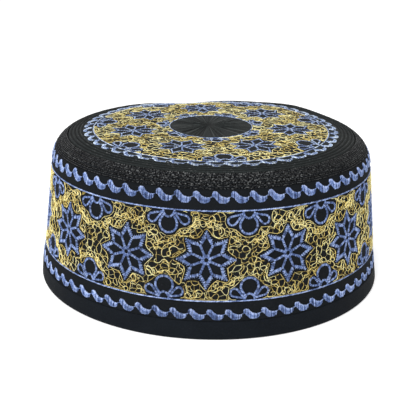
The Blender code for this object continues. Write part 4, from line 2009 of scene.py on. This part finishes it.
@dataclass
class Studio:
    """Pale floor, soft lights and the camera at the photograph's angle."""

    camera_place: Triple = (0.0, -0.4692, 0.1998)
    camera_pitch_deg: float = 19.45
    camera_yaw_deg: float = -0.15
    camera_roll_deg: float = 1.07
    camera_lens: float = 75.12
    floor_size: float = 6.0
    floor_shade: float = 0.95
    floor_glow: float = 0.3
    sky: float = 0.72
    sky_seen: float = 1.1
    softboxes: tuple[Softbox, ...] = (
        Softbox("overhead_softbox", (0.0, -0.1, 1.1), size=1.0, power=2.5),
        Softbox("front_softbox", (-0.4, -1.1, 0.6), size=0.7, power=15.0),
    )
    light_target: Triple = (0.0, 0.0, 0.05)

    def build(self) -> None:
        """Set the whole studio."""
        self.add_floor()
        self.add_sky()
        for box in self.softboxes:
            self.add_softbox(box)
        self.add_camera()

    def add_floor(self) -> None:
        """A pale sweep of floor under the cap."""
        shape = bmesh.new()
        bmesh.ops.create_circle(shape, cap_ends=True, radius=self.floor_size, segments=96)
        mesh = bpy.data.meshes.new("floor")
        shape.to_mesh(mesh)
        shape.free()
        material, bench, shader = new_material("pale_floor")
        bench.feed(shader, {
            "Base Color": opaque((self.floor_shade,) * 3), "Roughness": 0.9, "Specular IOR Level": 0.1,
            "Emission Color": opaque((1.0, 1.0, 1.0)), "Emission Strength": self.floor_glow,
        })
        mesh.materials.append(material)
        floor = bpy.data.objects.new("floor", mesh)
        bpy.context.scene.collection.objects.link(floor)

    def add_sky(self) -> None:
        """Even white light from all round, as white as the floor where it is seen."""
        world = bpy.data.worlds.new("studio_white")
        world.use_nodes = True
        bench = Bench(world.node_tree)
        background = world.node_tree.nodes["Background"]
        seen = bench.add("ShaderNodeLightPath").outputs["Is Camera Ray"]
        strength = bench.math("ADD", bench.math("MULTIPLY", seen, self.sky_seen - self.sky), self.sky)
        bench.feed(background, {"Color": opaque((1.0, 1.0, 1.0)), "Strength": strength})
        bpy.context.scene.world = world
        bpy.context.scene.view_settings.view_transform = "Standard"

    def add_softbox(self, box: Softbox) -> None:
        """Hang a soft light that faces the cap."""
        light = bpy.data.lights.new(box.name, "AREA")
        light.size = box.size
        light.energy = box.power
        lamp = bpy.data.objects.new(box.name, light)
        lamp.location = box.place
        way = Vector(self.light_target) - Vector(box.place)
        lamp.rotation_euler = way.to_track_quat("-Z", "Y").to_euler()
        bpy.context.scene.collection.objects.link(lamp)

    def add_camera(self) -> None:
        """The camera as fitted to the photograph."""
        lens = bpy.data.cameras.new("camera")
        lens.lens = self.camera_lens
        lens.sensor_width = 36.0
        camera = bpy.data.objects.new("camera", lens)
        turn = Matrix.Rotation(math.radians(-self.camera_yaw_deg), 4, "Z")
        tilt = Matrix.Rotation(math.radians(90.0 - self.camera_pitch_deg), 4, "X")
        roll = Matrix.Rotation(math.radians(self.camera_roll_deg), 4, "Z")
        camera.matrix_world = Matrix.Translation(self.camera_place) @ turn @ tilt @ roll
        bpy.context.scene.collection.objects.link(camera)
        bpy.context.scene.camera = camera


def main() -> None:
    """Build the dressed cap and the studio."""
    logging.basicConfig(level=logging.INFO, format="%(name)s: %(message)s")
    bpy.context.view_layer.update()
    form = CapForm()
    side, crown = SidePlan(form), CrownPlan(form)
    CrownCloth(form, "crown_top", "crown_cloth", CROWN_CLOTH).build(closed=False)
    WallCloth(form, "side_wall", "wall_cloth", WALL_CLOTH).build()
    HemBinding(form, "rim_hem", "hem_cloth", HEM_CLOTH).build()
    SideEmbroidery(side).build(np.random.default_rng(7))
    CrownEmbroidery(crown).build(np.random.default_rng(11))
    QuiltingRows(side, crown).build(np.random.default_rng(13))
    Studio().build()


if __name__ == "__main__":
    main()
